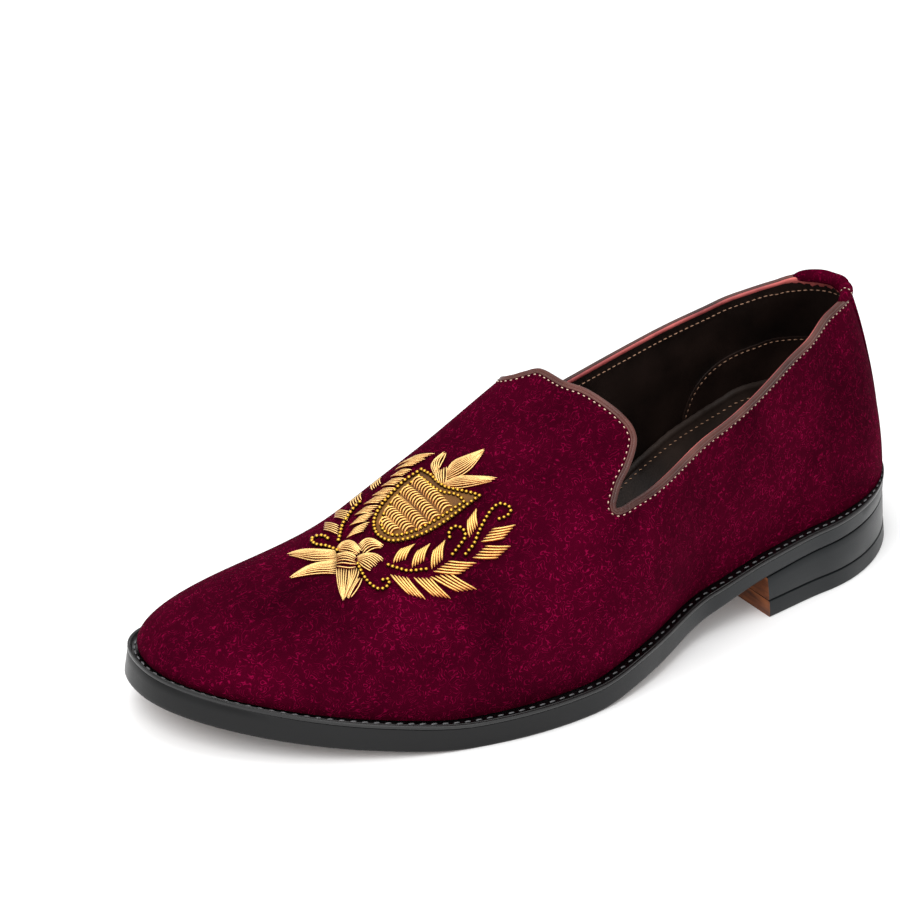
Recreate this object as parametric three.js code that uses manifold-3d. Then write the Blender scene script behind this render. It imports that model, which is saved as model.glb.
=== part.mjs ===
import * as THREE from "three";
import { mergeVertices } from "three/addons/utils/BufferGeometryUtils.js";
import Module from "manifold-3d";

const wasm = await Module();
wasm.setup();

// A left velvet loafer on a leather sole, in millimetres: +X to the toe, +Y to the outer side, +Z up.
// Every piece is built on the last's own axis, and the group moves that axis to the middle of the shoe.

// Named sizes
const AXIS = { x: -2.05, y: -2.75 };
const GAP = 0.3;
const SOFT_GAP = 0.55;
const WALL = 2.0;
const FEATHER_INSET = 5.6;
const HEEL_SPREAD = 4.1;
const LIP_RISE = 1.0;
const WELT_THICK = 2.2;
const WELT_INNER_INSET = 11.0;
const INSOLE_RISE = 3.0;
const INSOLE_INSET = 8.6;
const HEEL_BREAST_X = -65.3;
const TOP_LIFT = 6.0;
const HEEL_FLARE = 2.3;
const BINDING_PROUD = 0.5;
const TAB_HALF_WIDTH = 11.2;
const TAB_SHIFT = 0.8;
const TAB_HALF_THICK = 2.5;
const TAB_HALF_HEIGHT = 2.8;
const STRIP_HALF_WIDTH = 9.0;
const STRIP_THICK = 0.9;
const HEEL_POLE_X = -110;
const TOE_POLE_X = 107;
const TOE_SLOPE = -0.22;
const TREAD_FRONT_X = 65;
const CREST_LIFT = 0.45;
const CREST_RAISE = 1.5;

// Number of stations along the shoe, rows up the upper, and steps of the sampled outline
const STATIONS = 36;
const HEEL_STATIONS = 14;
const ROWS = 13;
const OUTLINE_STEPS = 60;

// Plan outline of the sole's outer edge: anchors with their tangent, inward normal and handle lengths
const OUTLINE = [
  { name: "heel back", x: -144.4, y: 0.0, along: [0, 1], inward: [1, 0], handleIn: 17.6, handleOut: 17.6 },
  { name: "outer heel", x: -93.2, y: 37.1, along: [1, 0], inward: [0, -1], handleIn: 28.0, handleOut: 12.0 },
  { name: "outer waist", x: -41, y: 40.3, along: [1, 0], inward: [0, -1], handleIn: 22.4, handleOut: 17.7 },
  { name: "outer ball", x: 28.5, y: 56.6, along: [1, 0], inward: [0, -1], handleIn: 38.7, handleOut: 56.6 },
  { name: "toe", x: 149.6, y: -20.7, along: [0, -1], inward: [-1, 0], handleIn: 33.5, handleOut: 37.5 },
  { name: "inner ball", x: 61.0, y: -51.1, along: [-1, 0], inward: [0, 1], handleIn: 50.4, handleOut: 26.0 },
  { name: "inner waist", x: -26.0, y: -33.0, along: [-1, 0], inward: [0, 1], handleIn: 28, handleOut: 28 },
  { name: "inner heel", x: -93.2, y: -37.1, along: [-1, 0], inward: [0, 1], handleIn: 12, handleOut: 28 },
];

// How much closer than its inset the upper keeps to the sole's edge at the two ends
const TUCK = { "heel back": 4.9, toe: 2.0 };

// Sole from the side: height of its underside and total height of its edge, by distance along the shoe
const SOLE = [
  { x: -151.0, under: 19.4, edge: 7.6 },
  { x: -65.3, under: 14.8, edge: 7.6 },
  { x: -30.0, under: 6.9, edge: 9.0 },
  { x: 0.0, under: 3.2, edge: 10.1 },
  { x: 22.0, under: 0.0, edge: 10.1 },
  { x: 65.0, under: 0.0, edge: 9.9 },
  { x: 95.0, under: 3.4, edge: 10.0 },
  { x: 151.0, under: 13.6, edge: 10.2 },
];

// Last: height of its ridge, squareness of its section, swell of the side wall, sideways place of the ridge
const LAST = [
  { x: -151.0, ridge: 130.0, square: 1.21, swell: 1.3, spine: 0.0 },
  { x: -110.0, ridge: 130.0, square: 1.21, swell: 1.3, spine: 0.0 },
  { x: -88.0, ridge: 148.8, square: 1.44, swell: 1.0, spine: -0.5 },
  { x: -60.0, ridge: 148.0, square: 2.1, swell: 1.95, spine: -1.6 },
  { x: -15.0, ridge: 106.7, square: 3.1, swell: 5.0, spine: -3.3 },
  { x: 10.0, ridge: 91.5, square: 2.6, swell: 3.5, spine: -8.2 },
  { x: 40.0, ridge: 70.8, square: 2.35, swell: 1.85, spine: -12.7 },
  { x: 75.0, ridge: 52.6, square: 2.31, swell: 1.3, spine: -13.6 },
  { x: 107.0, ridge: 44.3, square: 2.47, swell: 0.9, spine: -14.2 },
];

// Upper edge of the shoe from the side, heel to tongue through the throat notch, with the binding's width
const EDGE = [
  { x: -165.0, z: 97.8, band: 2.8 },
  { x: -128.0, z: 97.8, band: 2.8 },
  { x: -114.0, z: 97.3, band: 2.8 },
  { x: -105.0, z: 95.7, band: 2.8 },
  { x: -95.0, z: 92.4, band: 2.8 },
  { x: -82.0, z: 88.8, band: 2.8 },
  { x: -67.0, z: 84.8, band: 2.8 },
  { x: -52.0, z: 80.7, band: 2.8 },
  { x: -35.0, z: 76.4, band: 2.8 },
  { x: -20.0, z: 73.0, band: 2.8 },
  { x: -8.0, z: 70.4, band: 2.8 },
  { x: 0.0, z: 68.3, band: 2.7 },
  { x: 4.4, z: 66.9, band: 2.5 },
  { x: 6.0, z: 66.8, band: 2.4 },
  { x: 6.3, z: 68.2, band: 2.4 },
  { x: 4.7, z: 70.3, band: 2.5 },
  { x: 2.2, z: 73.8, band: 2.6 },
  { x: -1.4, z: 78.2, band: 2.6 },
  { x: -4.8, z: 82.6, band: 2.6 },
  { x: -6.7, z: 86.0, band: 2.6 },
  { x: -7.0, z: 89.2, band: 2.5 },
  { x: -5.8, z: 92.4, band: 2.4 },
  { x: -3.4, z: 95.2, band: 2.3 },
  { x: -0.9, z: 96.9, band: 2.2 },
  { x: 1.2, z: 97.2, band: 2.2 },
];

// Inner half of the tongue's edge in plan, from the ridge over the instep, its band and its lowest level
const TONGUE_INNER = [
  { x: 1.4, y: -6.4 },
  { x: 4.4, y: -10.4 },
  { x: 6.8, y: -13.2 },
  { x: 7.9, y: -16.2 },
  { x: 7.3, y: -18.6 },
  { x: 5.4, y: -21.4 },
  { x: 2.2, y: -23.7 },
  { x: -0.6, y: -25.0 },
  { x: -2.4, y: -26.4 },
];
const TONGUE_INNER_BAND = 2.4;
const TONGUE_INNER_LEVEL = 79.0;

// Crest on the vamp, in plan: half-widths of the shield along its axis, and leaves from base to tip
const SHIELD_AXIS = { top: [43.2, -0.8], tip: [68.6, -4.0] };
const SHIELD = [
  { along: 0.0, half: 12.4 },
  { along: 5.0, half: 12.3 },
  { along: 11.0, half: 11.9 },
  { along: 17.5, half: 9.6 },
  { along: 22.0, half: 6.6 },
  { along: 24.6, half: 3.6 },
  { along: 25.6, half: 1.4 },
];
const PLUME = [
  { base: [42.0, -1.6], tip: [36.6, -11.3], width: 4.2 },
  { base: [42.2, -0.8], tip: [29.4, -0.2], width: 5.6 },
  { base: [41.8, 0.4], tip: [32.6, 11.6], width: 4.6 },
];
const KNOT = [
  { base: [78.0, -4.4], tip: [80.6, -12.6], width: 4.4 },
  { base: [79.5, -4.0], tip: [71.0, -1.2], width: 4.2 },
  { base: [79.5, -4.6], tip: [76.4, 5.4], width: 4.4 },
  { base: [78.0, -5.2], tip: [84.4, -1.2], width: 4.4 },
  { base: [79.5, -5.0], tip: [93.2, -21.6], width: 4.0 },
  { base: [79.0, -4.6], tip: [99.8, -10.4], width: 4.2 },
  { base: [79.0, -4.2], tip: [92.0, 9.6], width: 4.4 },
];
const OUTER_STEM = [[74.6, 9.6], [69.0, 15.2], [64.4, 19.6], [57.0, 21.8], [50.6, 23.6], [46.4, 22.4]];
const OUTER_LEAVES = [
  { base: [72.0, 11.4], tip: [63.0, 9.1], width: 3.8 },
  { base: [68.2, 15.4], tip: [59.5, 12.8], width: 3.8 },
  { base: [63.7, 19.6], tip: [55.5, 15.5], width: 4.0 },
  { base: [73.6, 11.2], tip: [70.4, 25.4], width: 4.4 },
  { base: [68.9, 16.4], tip: [63.7, 29.8], width: 4.4 },
  { base: [64.4, 20.2], tip: [55.5, 32.6], width: 4.4 },
  { base: [61.4, 20.7], tip: [51.8, 27.8], width: 4.4 },
  { base: [52.0, 23.6], tip: [40.6, 30.6], width: 4.2 },
  { base: [47.3, 22.7], tip: [36.2, 27.4], width: 4.0 },
  { base: [49.2, 23.0], tip: [42.8, 15.1], width: 3.6 },
];
const INNER_STEM = [[83.2, -14], [78.4, -17.4], [69.6, -20.2], [60, -20.6], [51, -19.4], [44.6, -17.6]];
const INNER_LEAVES = [
  { base: [79.4, -17.0], tip: [70.0, -14.4], width: 3.6 },
  { base: [70.6, -20.0], tip: [62.4, -16.2], width: 3.6 },
  { base: [80.0, -17.0], tip: [76.0, -27.4], width: 4.0 },
  { base: [71.0, -20.0], tip: [66.0, -29.8], width: 4.0 },
  { base: [61.4, -20.6], tip: [55.0, -29.4], width: 4.0 },
  { base: [52.0, -19.6], tip: [44.0, -26.6], width: 4.0 },
  { base: [46.0, -17.8], tip: [38.4, -15.2], width: 4.0 },
];

// Smooth curve through a table's column: monotone between its rows, held constant beyond them
function curve(table, column, endSlope) {
  const xs = table.map((row) => row.x);
  const ys = table.map((row) => row[column]);
  const last = xs.length - 1;
  const step = xs.slice(1).map((x, i) => x - xs[i]);
  const rise = step.map((h, i) => (ys[i + 1] - ys[i]) / h);
  const slope = xs.map((x, i) => {
    if (i === 0) return rise[0];
    if (i === last) return endSlope ?? rise[last - 1];
    if (rise[i - 1] * rise[i] <= 0) return 0;
    const before = 2 * step[i] + step[i - 1];
    const after = step[i] + 2 * step[i - 1];
    return (before + after) / (before / rise[i - 1] + after / rise[i]);
  });
  return (at) => {
    const x = Math.min(Math.max(at, xs[0]), xs[last]);
    let i = 0;
    while (i < last - 1 && x > xs[i + 1]) i += 1;
    const t = (x - xs[i]) / step[i];
    const u = 1 - t;
    const fromLeft = (1 + 2 * t) * u * u * ys[i] + t * u * u * step[i] * slope[i];
    const fromRight = t * t * (3 - 2 * t) * ys[i + 1] - t * t * u * step[i] * slope[i + 1];
    return fromLeft + fromRight;
  };
}

const under = curve(SOLE, "under");
const edgeHeight = curve(SOLE, "edge");
const ridge = curve(LAST, "ridge", TOE_SLOPE);
const square = curve(LAST, "square");
const swell = curve(LAST, "swell");
const spine = curve(LAST, "spine");
const feather = (x) => under(x) + edgeHeight(x) - LIP_RISE;
const ledge = (x) => feather(x) - GAP;
const outsoleTop = (x) => ledge(x) - WELT_THICK - GAP;

// Share of the way in from the sole's edge to the feather line
const wayIn = (inset) => Math.min(Math.max(inset / FEATHER_INSET, 0), 1);

// Place of an outline anchor moved inwards by an inset
function anchorAt(anchor, inset) {
  const depth = inset - (TUCK[anchor.name] ?? 0) * wayIn(inset);
  return new THREE.Vector2(anchor.x + depth * anchor.inward[0], anchor.y + depth * anchor.inward[1]);
}

// The plan outline moved inwards by an inset, as an outer and an inner side from the heel to the toe
function outlineSides(inset) {
  const segments = OUTLINE.map((from, i) => {
    const to = OUTLINE[(i + 1) % OUTLINE.length];
    const rounds = [from.name, to.name].some((name) => name === "heel back" || name === "toe");
    const longer = (anchor) => {
      if (anchor.name === "heel back") return HEEL_SPREAD * wayIn(inset);
      return rounds ? -0.55 * inset : 0;
    };
    const out = from.handleOut + longer(from);
    const into = to.handleIn + longer(to);
    const a = anchorAt(from, inset);
    const d = anchorAt(to, inset);
    const b = new THREE.Vector2(a.x + out * from.along[0], a.y + out * from.along[1]);
    const c = new THREE.Vector2(d.x - into * to.along[0], d.y - into * to.along[1]);
    return new THREE.CubicBezierCurve(a, b, c, d).getPoints(OUTLINE_STEPS);
  });
  const join = (parts) => parts.flatMap((part, i) => (i ? part.slice(1) : part));
  return { outer: join(segments.slice(0, 4)), inner: join(segments.slice(4)).reverse() };
}

// Sideways place of a side of the outline at a distance along the shoe
function sideAt(side, x) {
  let i = 0;
  while (i < side.length - 2 && side[i + 1].x < x) i += 1;
  const span = Math.max(side[i + 1].x - side[i].x, 1e-9);
  const t = Math.min(Math.max((x - side[i].x) / span, 0), 1);
  return side[i].y + t * (side[i + 1].y - side[i].y);
}

// Stations of an outline: pairs of an outer and an inner point, closest together at the round ends
function stations(inset, toX, count) {
  const { outer, inner } = outlineSides(inset);
  const from = outer[0].x;
  const to = toX ?? outer[outer.length - 1].x;
  return Array.from({ length: count + 1 }, (_, i) => {
    const bothEnds = (1 - Math.cos((Math.PI * i) / count)) / 2;
    const backOnly = 1 - Math.cos((Math.PI * i) / count / 2);
    const x = from + (to - from) * (toX === undefined ? bothEnds : backOnly);
    const closed = i === 0 || (toX === undefined && i === count);
    const end = i === 0 ? outer[0].y : outer[outer.length - 1].y;
    return { x, outer: closed ? end : sideAt(outer, x), inner: closed ? end : sideAt(inner, x), closed };
  });
}

// A ring of points around an outline at a height along the shoe, square to the sole where the toe rises
function ring(inset, height, toX, count = STATIONS) {
  const pairs = stations(inset, toX, count);
  const place = (x, y) => {
    const slope = x > TREAD_FRONT_X ? under(x + 0.5) - under(x - 0.5) : 0;
    return [x + slope * (ledge(x) - height(x)), y, height(x)];
  };
  const outerSide = pairs.map((p) => place(p.x, p.outer));
  const innerSide = pairs.filter((p) => !p.closed).map((p) => place(p.x, p.inner));
  return { points: [...outerSide, ...innerSide.reverse()], pairs: pairs.length };
}

// Triangles between two rings of equal length, and the strip that closes a ring across the shoe
function bridge(triangles, a, b, count) {
  for (let i = 0; i < count; i += 1) {
    const j = (i + 1) % count;
    triangles.push([a + i, a + j, b + j], [a + i, b + j, b + i]);
  }
}

function closeAcross(triangles, start, count, pairs, upward) {
  const outer = (i) => start + i;
  const inner = (i) => start + ((count - i) % count);
  for (let i = 0; i < pairs - 1; i += 1) {
    const quad = [outer(i), outer(i + 1), inner(i + 1), inner(i)];
    for (const [p, q, r] of [[0, 1, 2], [0, 2, 3]]) {
      const triangle = [quad[p], quad[q], quad[r]];
      if (new Set(triangle).size === 3) triangles.push(upward ? triangle : triangle.reverse());
    }
  }
}

// A closed solid from its points and triangles, turned so that its faces look out
function solid(points, triangles) {
  const geometry = new THREE.BufferGeometry();
  geometry.setAttribute("position", new THREE.BufferAttribute(new Float32Array(points.flat()), 3));
  geometry.setIndex(triangles.flat());
  return toManifold(geometry);
}

function toManifold(geometry) {
  const bare = geometry.clone();
  bare.deleteAttribute("normal");
  bare.deleteAttribute("uv");
  const merged = mergeVertices(bare, 1e-4);
  const index = Array.from(merged.index.array);
  const position = merged.attributes.position;
  const corner = (i) => new THREE.Vector3().fromBufferAttribute(position, i);
  const kept = [];
  let volume = 0;
  for (let i = 0; i < index.length; i += 3) {
    const [a, b, c] = index.slice(i, i + 3);
    if (a === b || b === c || c === a) continue;
    kept.push([a, b, c]);
    volume += corner(a).dot(corner(b).cross(corner(c)));
  }
  const faces = volume < 0 ? kept.map(([a, b, c]) => [a, c, b]) : kept;
  const mesh = new wasm.Mesh({
    numProp: 3,
    vertProperties: new Float32Array(position.array),
    triVerts: new Uint32Array(faces.flat()),
  });
  mesh.merge();
  return new wasm.Manifold(mesh);
}

// A plate of stacked rings, closed at the bottom and at the top
function plate(rings) {
  const count = rings[0].points.length;
  const triangles = [];
  rings.slice(1).forEach((_, i) => bridge(triangles, i * count, (i + 1) * count, count));
  closeAcross(triangles, 0, count, rings[0].pairs, false);
  closeAcross(triangles, (rings.length - 1) * count, count, rings[0].pairs, true);
  return solid(rings.flatMap((r) => r.points), triangles);
}

// A band of rings that runs around the shoe and closes on itself
function hoop(rings) {
  const count = rings[0].points.length;
  const triangles = [];
  rings.forEach((_, i) => bridge(triangles, i * count, ((i + 1) % rings.length) * count, count));
  return solid(rings.flatMap((r) => r.points), triangles);
}

// Sole: outsole with bevelled edges, welt with its lip, insole with the filler inside the welt
const outsole = plate([
  ring(1.6, under),
  ring(0.5, (x) => under(x) + 1.0),
  ring(0.4, (x) => outsoleTop(x) - 0.6),
  ring(1.1, outsoleTop),
]);

const welt = hoop([
  ring(WELT_INNER_INSET, (x) => outsoleTop(x) + GAP),
  ring(0.8, (x) => outsoleTop(x) + GAP),
  ring(0.0, (x) => outsoleTop(x) + GAP + 0.8),
  ring(0.0, (x) => ledge(x) + LIP_RISE - 0.1),
  ring(0.5, (x) => ledge(x) + LIP_RISE + GAP),
  ring(1.3, (x) => ledge(x) + LIP_RISE + GAP),
  ring(2.4, ledge),
  ring(WELT_INNER_INSET, ledge),
]);

const insole = plate([
  ring(WELT_INNER_INSET + GAP, (x) => outsoleTop(x) + GAP),
  ring(WELT_INNER_INSET + GAP, (x) => ledge(x) + GAP),
  ring(INSOLE_INSET, (x) => ledge(x) + GAP),
  ring(INSOLE_INSET, (x) => ledge(x) + INSOLE_RISE - 0.8),
  ring(INSOLE_INSET + 1.0, (x) => ledge(x) + INSOLE_RISE),
]);

// Heel: a stacked block that flares a little to the floor, and its top lift
const heelRing = (inset, height) => ring(inset, height, HEEL_BREAST_X, HEEL_STATIONS);
const heelBlock = plate([
  heelRing(-HEEL_FLARE * 0.55, () => TOP_LIFT + GAP),
  heelRing(0.4, (x) => under(x) - GAP),
]);
const topLift = plate([
  heelRing(0.5 - HEEL_FLARE, () => 0),
  heelRing(-HEEL_FLARE, () => 0.6),
  heelRing(-HEEL_FLARE * 0.6, () => TOP_LIFT),
]);

// Column of the upper above a point of its feather line
function column(x, y) {
  const along = Math.min(Math.max(x, HEEL_POLE_X), TOE_POLE_X);
  const centre = { x: along, y: spine(along) };
  return {
    x,
    y,
    centre,
    reach: Math.hypot(x - centre.x, y - centre.y),
    base: feather(x),
    top: ridge(along),
    square: square(along),
    swell: swell(along),
    toe: x > TOE_POLE_X,
  };
}

// Share of the column's reach left at a share of its height
function share(col, up) {
  const s = up ** (col.square / 2);
  const round = Math.sqrt(Math.max(1 - s * s, 0)) ** (2 / col.square);
  return round + (col.swell * 6.75 * up * (1 - up) ** 2) / col.reach;
}

// Point of the last's surface on a column at a share of its height
function skinPoint(col, up) {
  const r = share(col, up);
  const x = col.centre.x + (col.x - col.centre.x) * r;
  const y = col.centre.y + (col.y - col.centre.y) * r;
  const dip = col.toe ? TOE_SLOPE * (x - col.centre.x) * up : 0;
  return new THREE.Vector3(x, y, col.base + (col.top - col.base) * up + dip);
}

// Outward normals on a grid of columns and rows that runs around the shoe
function gridNormals(grid, columns) {
  const count = grid.length;
  return grid.map((line, i) => line.map((point, j) => {
    if (j === line.length - 1) {
      const at = columns[i].centre.x;
      const tilt = at >= TOE_POLE_X ? TOE_SLOPE : (ridge(at + 0.5) - ridge(at - 0.5));
      return new THREE.Vector3(-tilt, 0, 1).normalize();
    }
    const round = grid[(i + 1) % count][j].clone().sub(grid[(i + count - 1) % count][j]);
    const rise = line[j + 1].clone().sub(line[Math.max(j - 1, 0)]);
    return rise.cross(round).normalize();
  }));
}

// The last as a closed body, swollen or shrunk by an offset, with its foot lowered below the feather line
function lastBody(offset, drop) {
  const pairs = stations(FEATHER_INSET, undefined, STATIONS);
  const outerSide = pairs.map((p) => column(p.x, p.outer));
  const innerSide = pairs.filter((p) => !p.closed).map((p) => column(p.x, p.inner));
  const columns = [...outerSide, ...innerSide.reverse()];
  const shares = Array.from({ length: ROWS + 1 }, (_, j) => Math.sin((Math.PI * j) / ROWS / 2));
  const grid = columns.map((col) => shares.map((up) => skinPoint(col, up)));
  const normals = gridNormals(grid, columns);
  const moved = grid.map((line, i) => line.map((p, j) => p.clone().addScaledVector(normals[i][j], offset)));
  const rows = shares.map((_, j) => moved.map((line) => line[j].toArray()));
  if (drop > 0) rows.unshift(rows[0].map(([x, y, z]) => [x, y, z - drop]));
  const count = columns.length;
  const triangles = [];
  rows.slice(1).forEach((_, j) => bridge(triangles, j * count, (j + 1) * count, count));
  closeAcross(triangles, 0, count, pairs.length, false);
  return solid(rows.flat(), triangles);
}

// Level above everything, where the cuts along the edge end
const SKY = 160;

// Side-view lines of the shoe's edge, moved into the upper by a share of the binding's width and a gap
function edgeLine(widths, extra) {
  return EDGE.map((point, i) => {
    const before = EDGE[Math.max(i - 1, 0)];
    const after = EDGE[Math.min(i + 1, EDGE.length - 1)];
    const run = new THREE.Vector2(after.x - before.x, after.z - before.z).normalize();
    const depth = widths * point.band + extra;
    return new THREE.Vector2(point.x + run.y * depth, point.z - run.x * depth);
  });
}

// A side-view outline pulled right across the shoe
function acrossShoe(outline) {
  const reach = 90;
  const options = { depth: 2 * reach, bevelEnabled: false };
  const geometry = new THREE.ExtrudeGeometry(new THREE.Shape(outline), options);
  geometry.rotateX(Math.PI / 2);
  geometry.translate(0, reach, 0);
  return toManifold(geometry);
}

// The space behind the inner half of the tongue's edge, moved into the upper in the same way
function behindInstep(widths, extra) {
  const depth = widths * TONGUE_INNER_BAND + extra;
  const line = TONGUE_INNER.map((point, i) => {
    const before = TONGUE_INNER[Math.max(i - 1, 0)];
    const after = TONGUE_INNER[Math.min(i + 1, TONGUE_INNER.length - 1)];
    const run = new THREE.Vector2(after.x - before.x, after.y - before.y).normalize();
    return new THREE.Vector2(point.x - run.y * depth, point.y + run.x * depth);
  });
  const back = -40;
  const end = line[line.length - 1];
  const corners = [[end.x, back], [back, back], [back, line[0].y]].map(([x, y]) => new THREE.Vector2(x, y));
  const geometry = new THREE.ExtrudeGeometry(new THREE.Shape([...line, ...corners]), {
    depth: SKY - TONGUE_INNER_LEVEL + depth,
    bevelEnabled: false,
  });
  geometry.translate(0, 0, TONGUE_INNER_LEVEL - depth);
  return toManifold(geometry);
}

function aboveEdge(widths, extra) {
  const line = edgeLine(widths, extra);
  const front = line[line.length - 1].x;
  const above = acrossShoe([...line, new THREE.Vector2(front, SKY), new THREE.Vector2(EDGE[0].x, SKY)]);
  return above.add(behindInstep(widths, extra));
}

function box(from, to) {
  const size = to.map((value, i) => value - from[i]);
  const geometry = new THREE.BoxGeometry(...size);
  geometry.translate(...from.map((value, i) => value + size[i] / 2));
  return toManifold(geometry);
}

// Upper: the last's body hollowed to a wall, open underneath, cut along the binding
const upper = lastBody(0, 0).subtract(lastBody(-WALL, 6)).subtract(aboveEdge(1, SOFT_GAP));

// Binding: a slightly thicker rim along the edge, left open at the heel for the tab
const bindingForm = lastBody(BINDING_PROUD, 0).subtract(lastBody(-WALL - BINDING_PROUD, 6));
const tabSlot = box(
  [-170, TAB_SHIFT - TAB_HALF_WIDTH - GAP, 60],
  [-100, TAB_SHIFT + TAB_HALF_WIDTH + GAP, 140],
);
const collarBinding = bindingForm.subtract(aboveEdge(0, 0)).intersect(aboveEdge(1, 0)).subtract(tabSlot);

// Point of the heel's wall at a sideways place and a height, moved off the skin by an offset
const featherSides = outlineSides(FEATHER_INSET);
function heelPoint(y, z, offset) {
  const side = y < 0 ? featherSides.inner : featherSides.outer;
  const at = (t) => {
    const k = Math.min(Math.floor(t), side.length - 2);
    return column(
      side[k].x + (t - k) * (side[k + 1].x - side[k].x),
      side[k].y + (t - k) * (side[k + 1].y - side[k].y),
    );
  };
  const point = (t) => {
    const col = at(t);
    return skinPoint(col, Math.min(Math.max((z - col.base) / (col.top - col.base), 0), 0.98));
  };
  let low = 0;
  let high = OUTLINE_STEPS;
  for (let i = 0; i < 40; i += 1) {
    const middle = (low + high) / 2;
    if (Math.abs(point(middle).y) < Math.abs(y)) low = middle;
    else high = middle;
  }
  const here = point(low);
  const next = point(low + 0.5);
  const run = next.sub(here).setZ(0).multiplyScalar(y < 0 ? -1 : 1);
  const col = at(low);
  const up = (z - col.base) / (col.top - col.base);
  const rise = skinPoint(col, Math.min(up + 0.01, 0.99)).sub(skinPoint(col, Math.max(up - 0.01, 0)));
  const normal = rise.cross(run).normalize();
  return here.addScaledVector(normal, offset);
}

// A closed slab between two grids of points with the same rows and columns
function slab(front, back) {
  const rows = front.length;
  const cols = front[0].length;
  const points = [...front.flat(), ...back.flat()];
  const size = rows * cols;
  const at = (r, c, layer) => layer * size + r * cols + c;
  const triangles = [];
  const quad = (a, b, c, d) => triangles.push([a, b, c], [a, c, d]);
  for (let r = 0; r < rows - 1; r += 1) {
    for (let c = 0; c < cols - 1; c += 1) {
      quad(at(r, c, 0), at(r, c + 1, 0), at(r + 1, c + 1, 0), at(r + 1, c, 0));
      quad(at(r, c, 1), at(r + 1, c, 1), at(r + 1, c + 1, 1), at(r, c + 1, 1));
    }
  }
  for (let c = 0; c < cols - 1; c += 1) {
    quad(at(0, c, 0), at(0, c, 1), at(0, c + 1, 1), at(0, c + 1, 0));
    quad(at(rows - 1, c, 0), at(rows - 1, c + 1, 0), at(rows - 1, c + 1, 1), at(rows - 1, c, 1));
  }
  for (let r = 0; r < rows - 1; r += 1) {
    quad(at(r, 0, 0), at(r + 1, 0, 0), at(r + 1, 0, 1), at(r, 0, 1));
    quad(at(r, cols - 1, 0), at(r, cols - 1, 1), at(r + 1, cols - 1, 1), at(r + 1, cols - 1, 0));
  }
  return solid(points, triangles);
}

// Heel tab: a velvet roll over the collar, rounded at both ends
const TAB_STEPS = 12;
const TAB_SIDES = 10;
const tabTop = EDGE[1].z;
const tabRows = Array.from({ length: TAB_STEPS + 1 }, (_, i) => {
  const across = -Math.cos((Math.PI * i) / TAB_STEPS);
  const place = (part) => heelPoint(TAB_SHIFT + part * TAB_HALF_WIDTH, tabTop - 1.5, -WALL / 2);
  const middle = place(across).setZ(tabTop);
  const before = place(across - 0.02);
  const after = place(across + 0.02);
  const run = after.sub(before).setZ(0).normalize();
  const fullness = Math.max((1 - across ** 6) ** 0.5, 0.35);
  return Array.from({ length: TAB_SIDES }, (_, k) => {
    const turn = (2 * Math.PI * k) / TAB_SIDES;
    const out = TAB_HALF_THICK * fullness * Math.cos(turn);
    const up = TAB_HALF_HEIGHT * fullness * Math.sin(turn);
    return [middle.x - run.y * out, middle.y + run.x * out, middle.z + up];
  });
});
const tabTriangles = [];
tabRows.slice(1).forEach((_, i) => bridge(tabTriangles, i * TAB_SIDES, (i + 1) * TAB_SIDES, TAB_SIDES));
for (let k = 1; k < TAB_SIDES - 1; k += 1) {
  const end = TAB_STEPS * TAB_SIDES;
  tabTriangles.push([0, k + 1, k], [end, end + k, end + k + 1]);
}
const heelTab = solid(tabRows.flat(), tabTriangles);

// Back strip: a thin band of velvet on the heel from the feather line to the tab
const STRIP_ROWS = 9;
const STRIP_COLUMNS = 6;
const stripTop = tabTop - EDGE[1].band - 2 * GAP;
const stripFoot = feather(EDGE[0].x) + LIP_RISE + 2 * GAP;
function stripGrid(offset) {
  return Array.from({ length: STRIP_ROWS + 1 }, (_, j) => {
    const z = stripFoot + ((stripTop - stripFoot) * j) / STRIP_ROWS;
    return Array.from({ length: STRIP_COLUMNS + 1 }, (_, i) => {
      const across = (2 * i) / STRIP_COLUMNS - 1;
      return heelPoint(across * STRIP_HALF_WIDTH, z, offset).toArray();
    });
  });
}
const backStrip = slab(stripGrid(SOFT_GAP + STRIP_THICK), stripGrid(SOFT_GAP));

// Point of the vamp above a place in plan, raised off the velvet
function vampHeight(x, y) {
  const side = y < spine(x) ? featherSides.inner : featherSides.outer;
  const col = column(x, sideAt(side, x));
  const wanted = Math.abs(y - col.centre.y) / col.reach;
  let low = 0.25;
  let high = 1;
  for (let i = 0; i < 40; i += 1) {
    const middle = (low + high) / 2;
    if (share(col, middle) > wanted) low = middle;
    else high = middle;
  }
  return skinPoint(col, low).z;
}

function vampPoint(x, y, lift) {
  const step = 0.5;
  const slopeX = (vampHeight(x + step, y) - vampHeight(x - step, y)) / (2 * step);
  const slopeY = (vampHeight(x, y + step) - vampHeight(x, y - step)) / (2 * step);
  const normal = new THREE.Vector3(-slopeX, -slopeY, 1).normalize();
  return new THREE.Vector3(x, y, vampHeight(x, y)).addScaledVector(normal, lift).toArray();
}

// A raised patch of gold work along an axis in plan, domed across
function patch(from, to, rows, raise, across = [-1, 0, 1]) {
  const length = Math.hypot(to[0] - from[0], to[1] - from[1]);
  const run = [(to[0] - from[0]) / length, (to[1] - from[1]) / length];
  const layer = (lift) => rows.map(({ along, half }) => across.map((side) => {
    const x = from[0] + run[0] * along - run[1] * half * side;
    const y = from[1] + run[1] * along + run[0] * half * side;
    return vampPoint(x, y, lift(side, half));
  }));
  return slab(layer((side) => CREST_LIFT + 0.3 + raise * (1 - side ** 4)), layer(() => CREST_LIFT));
}

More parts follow.
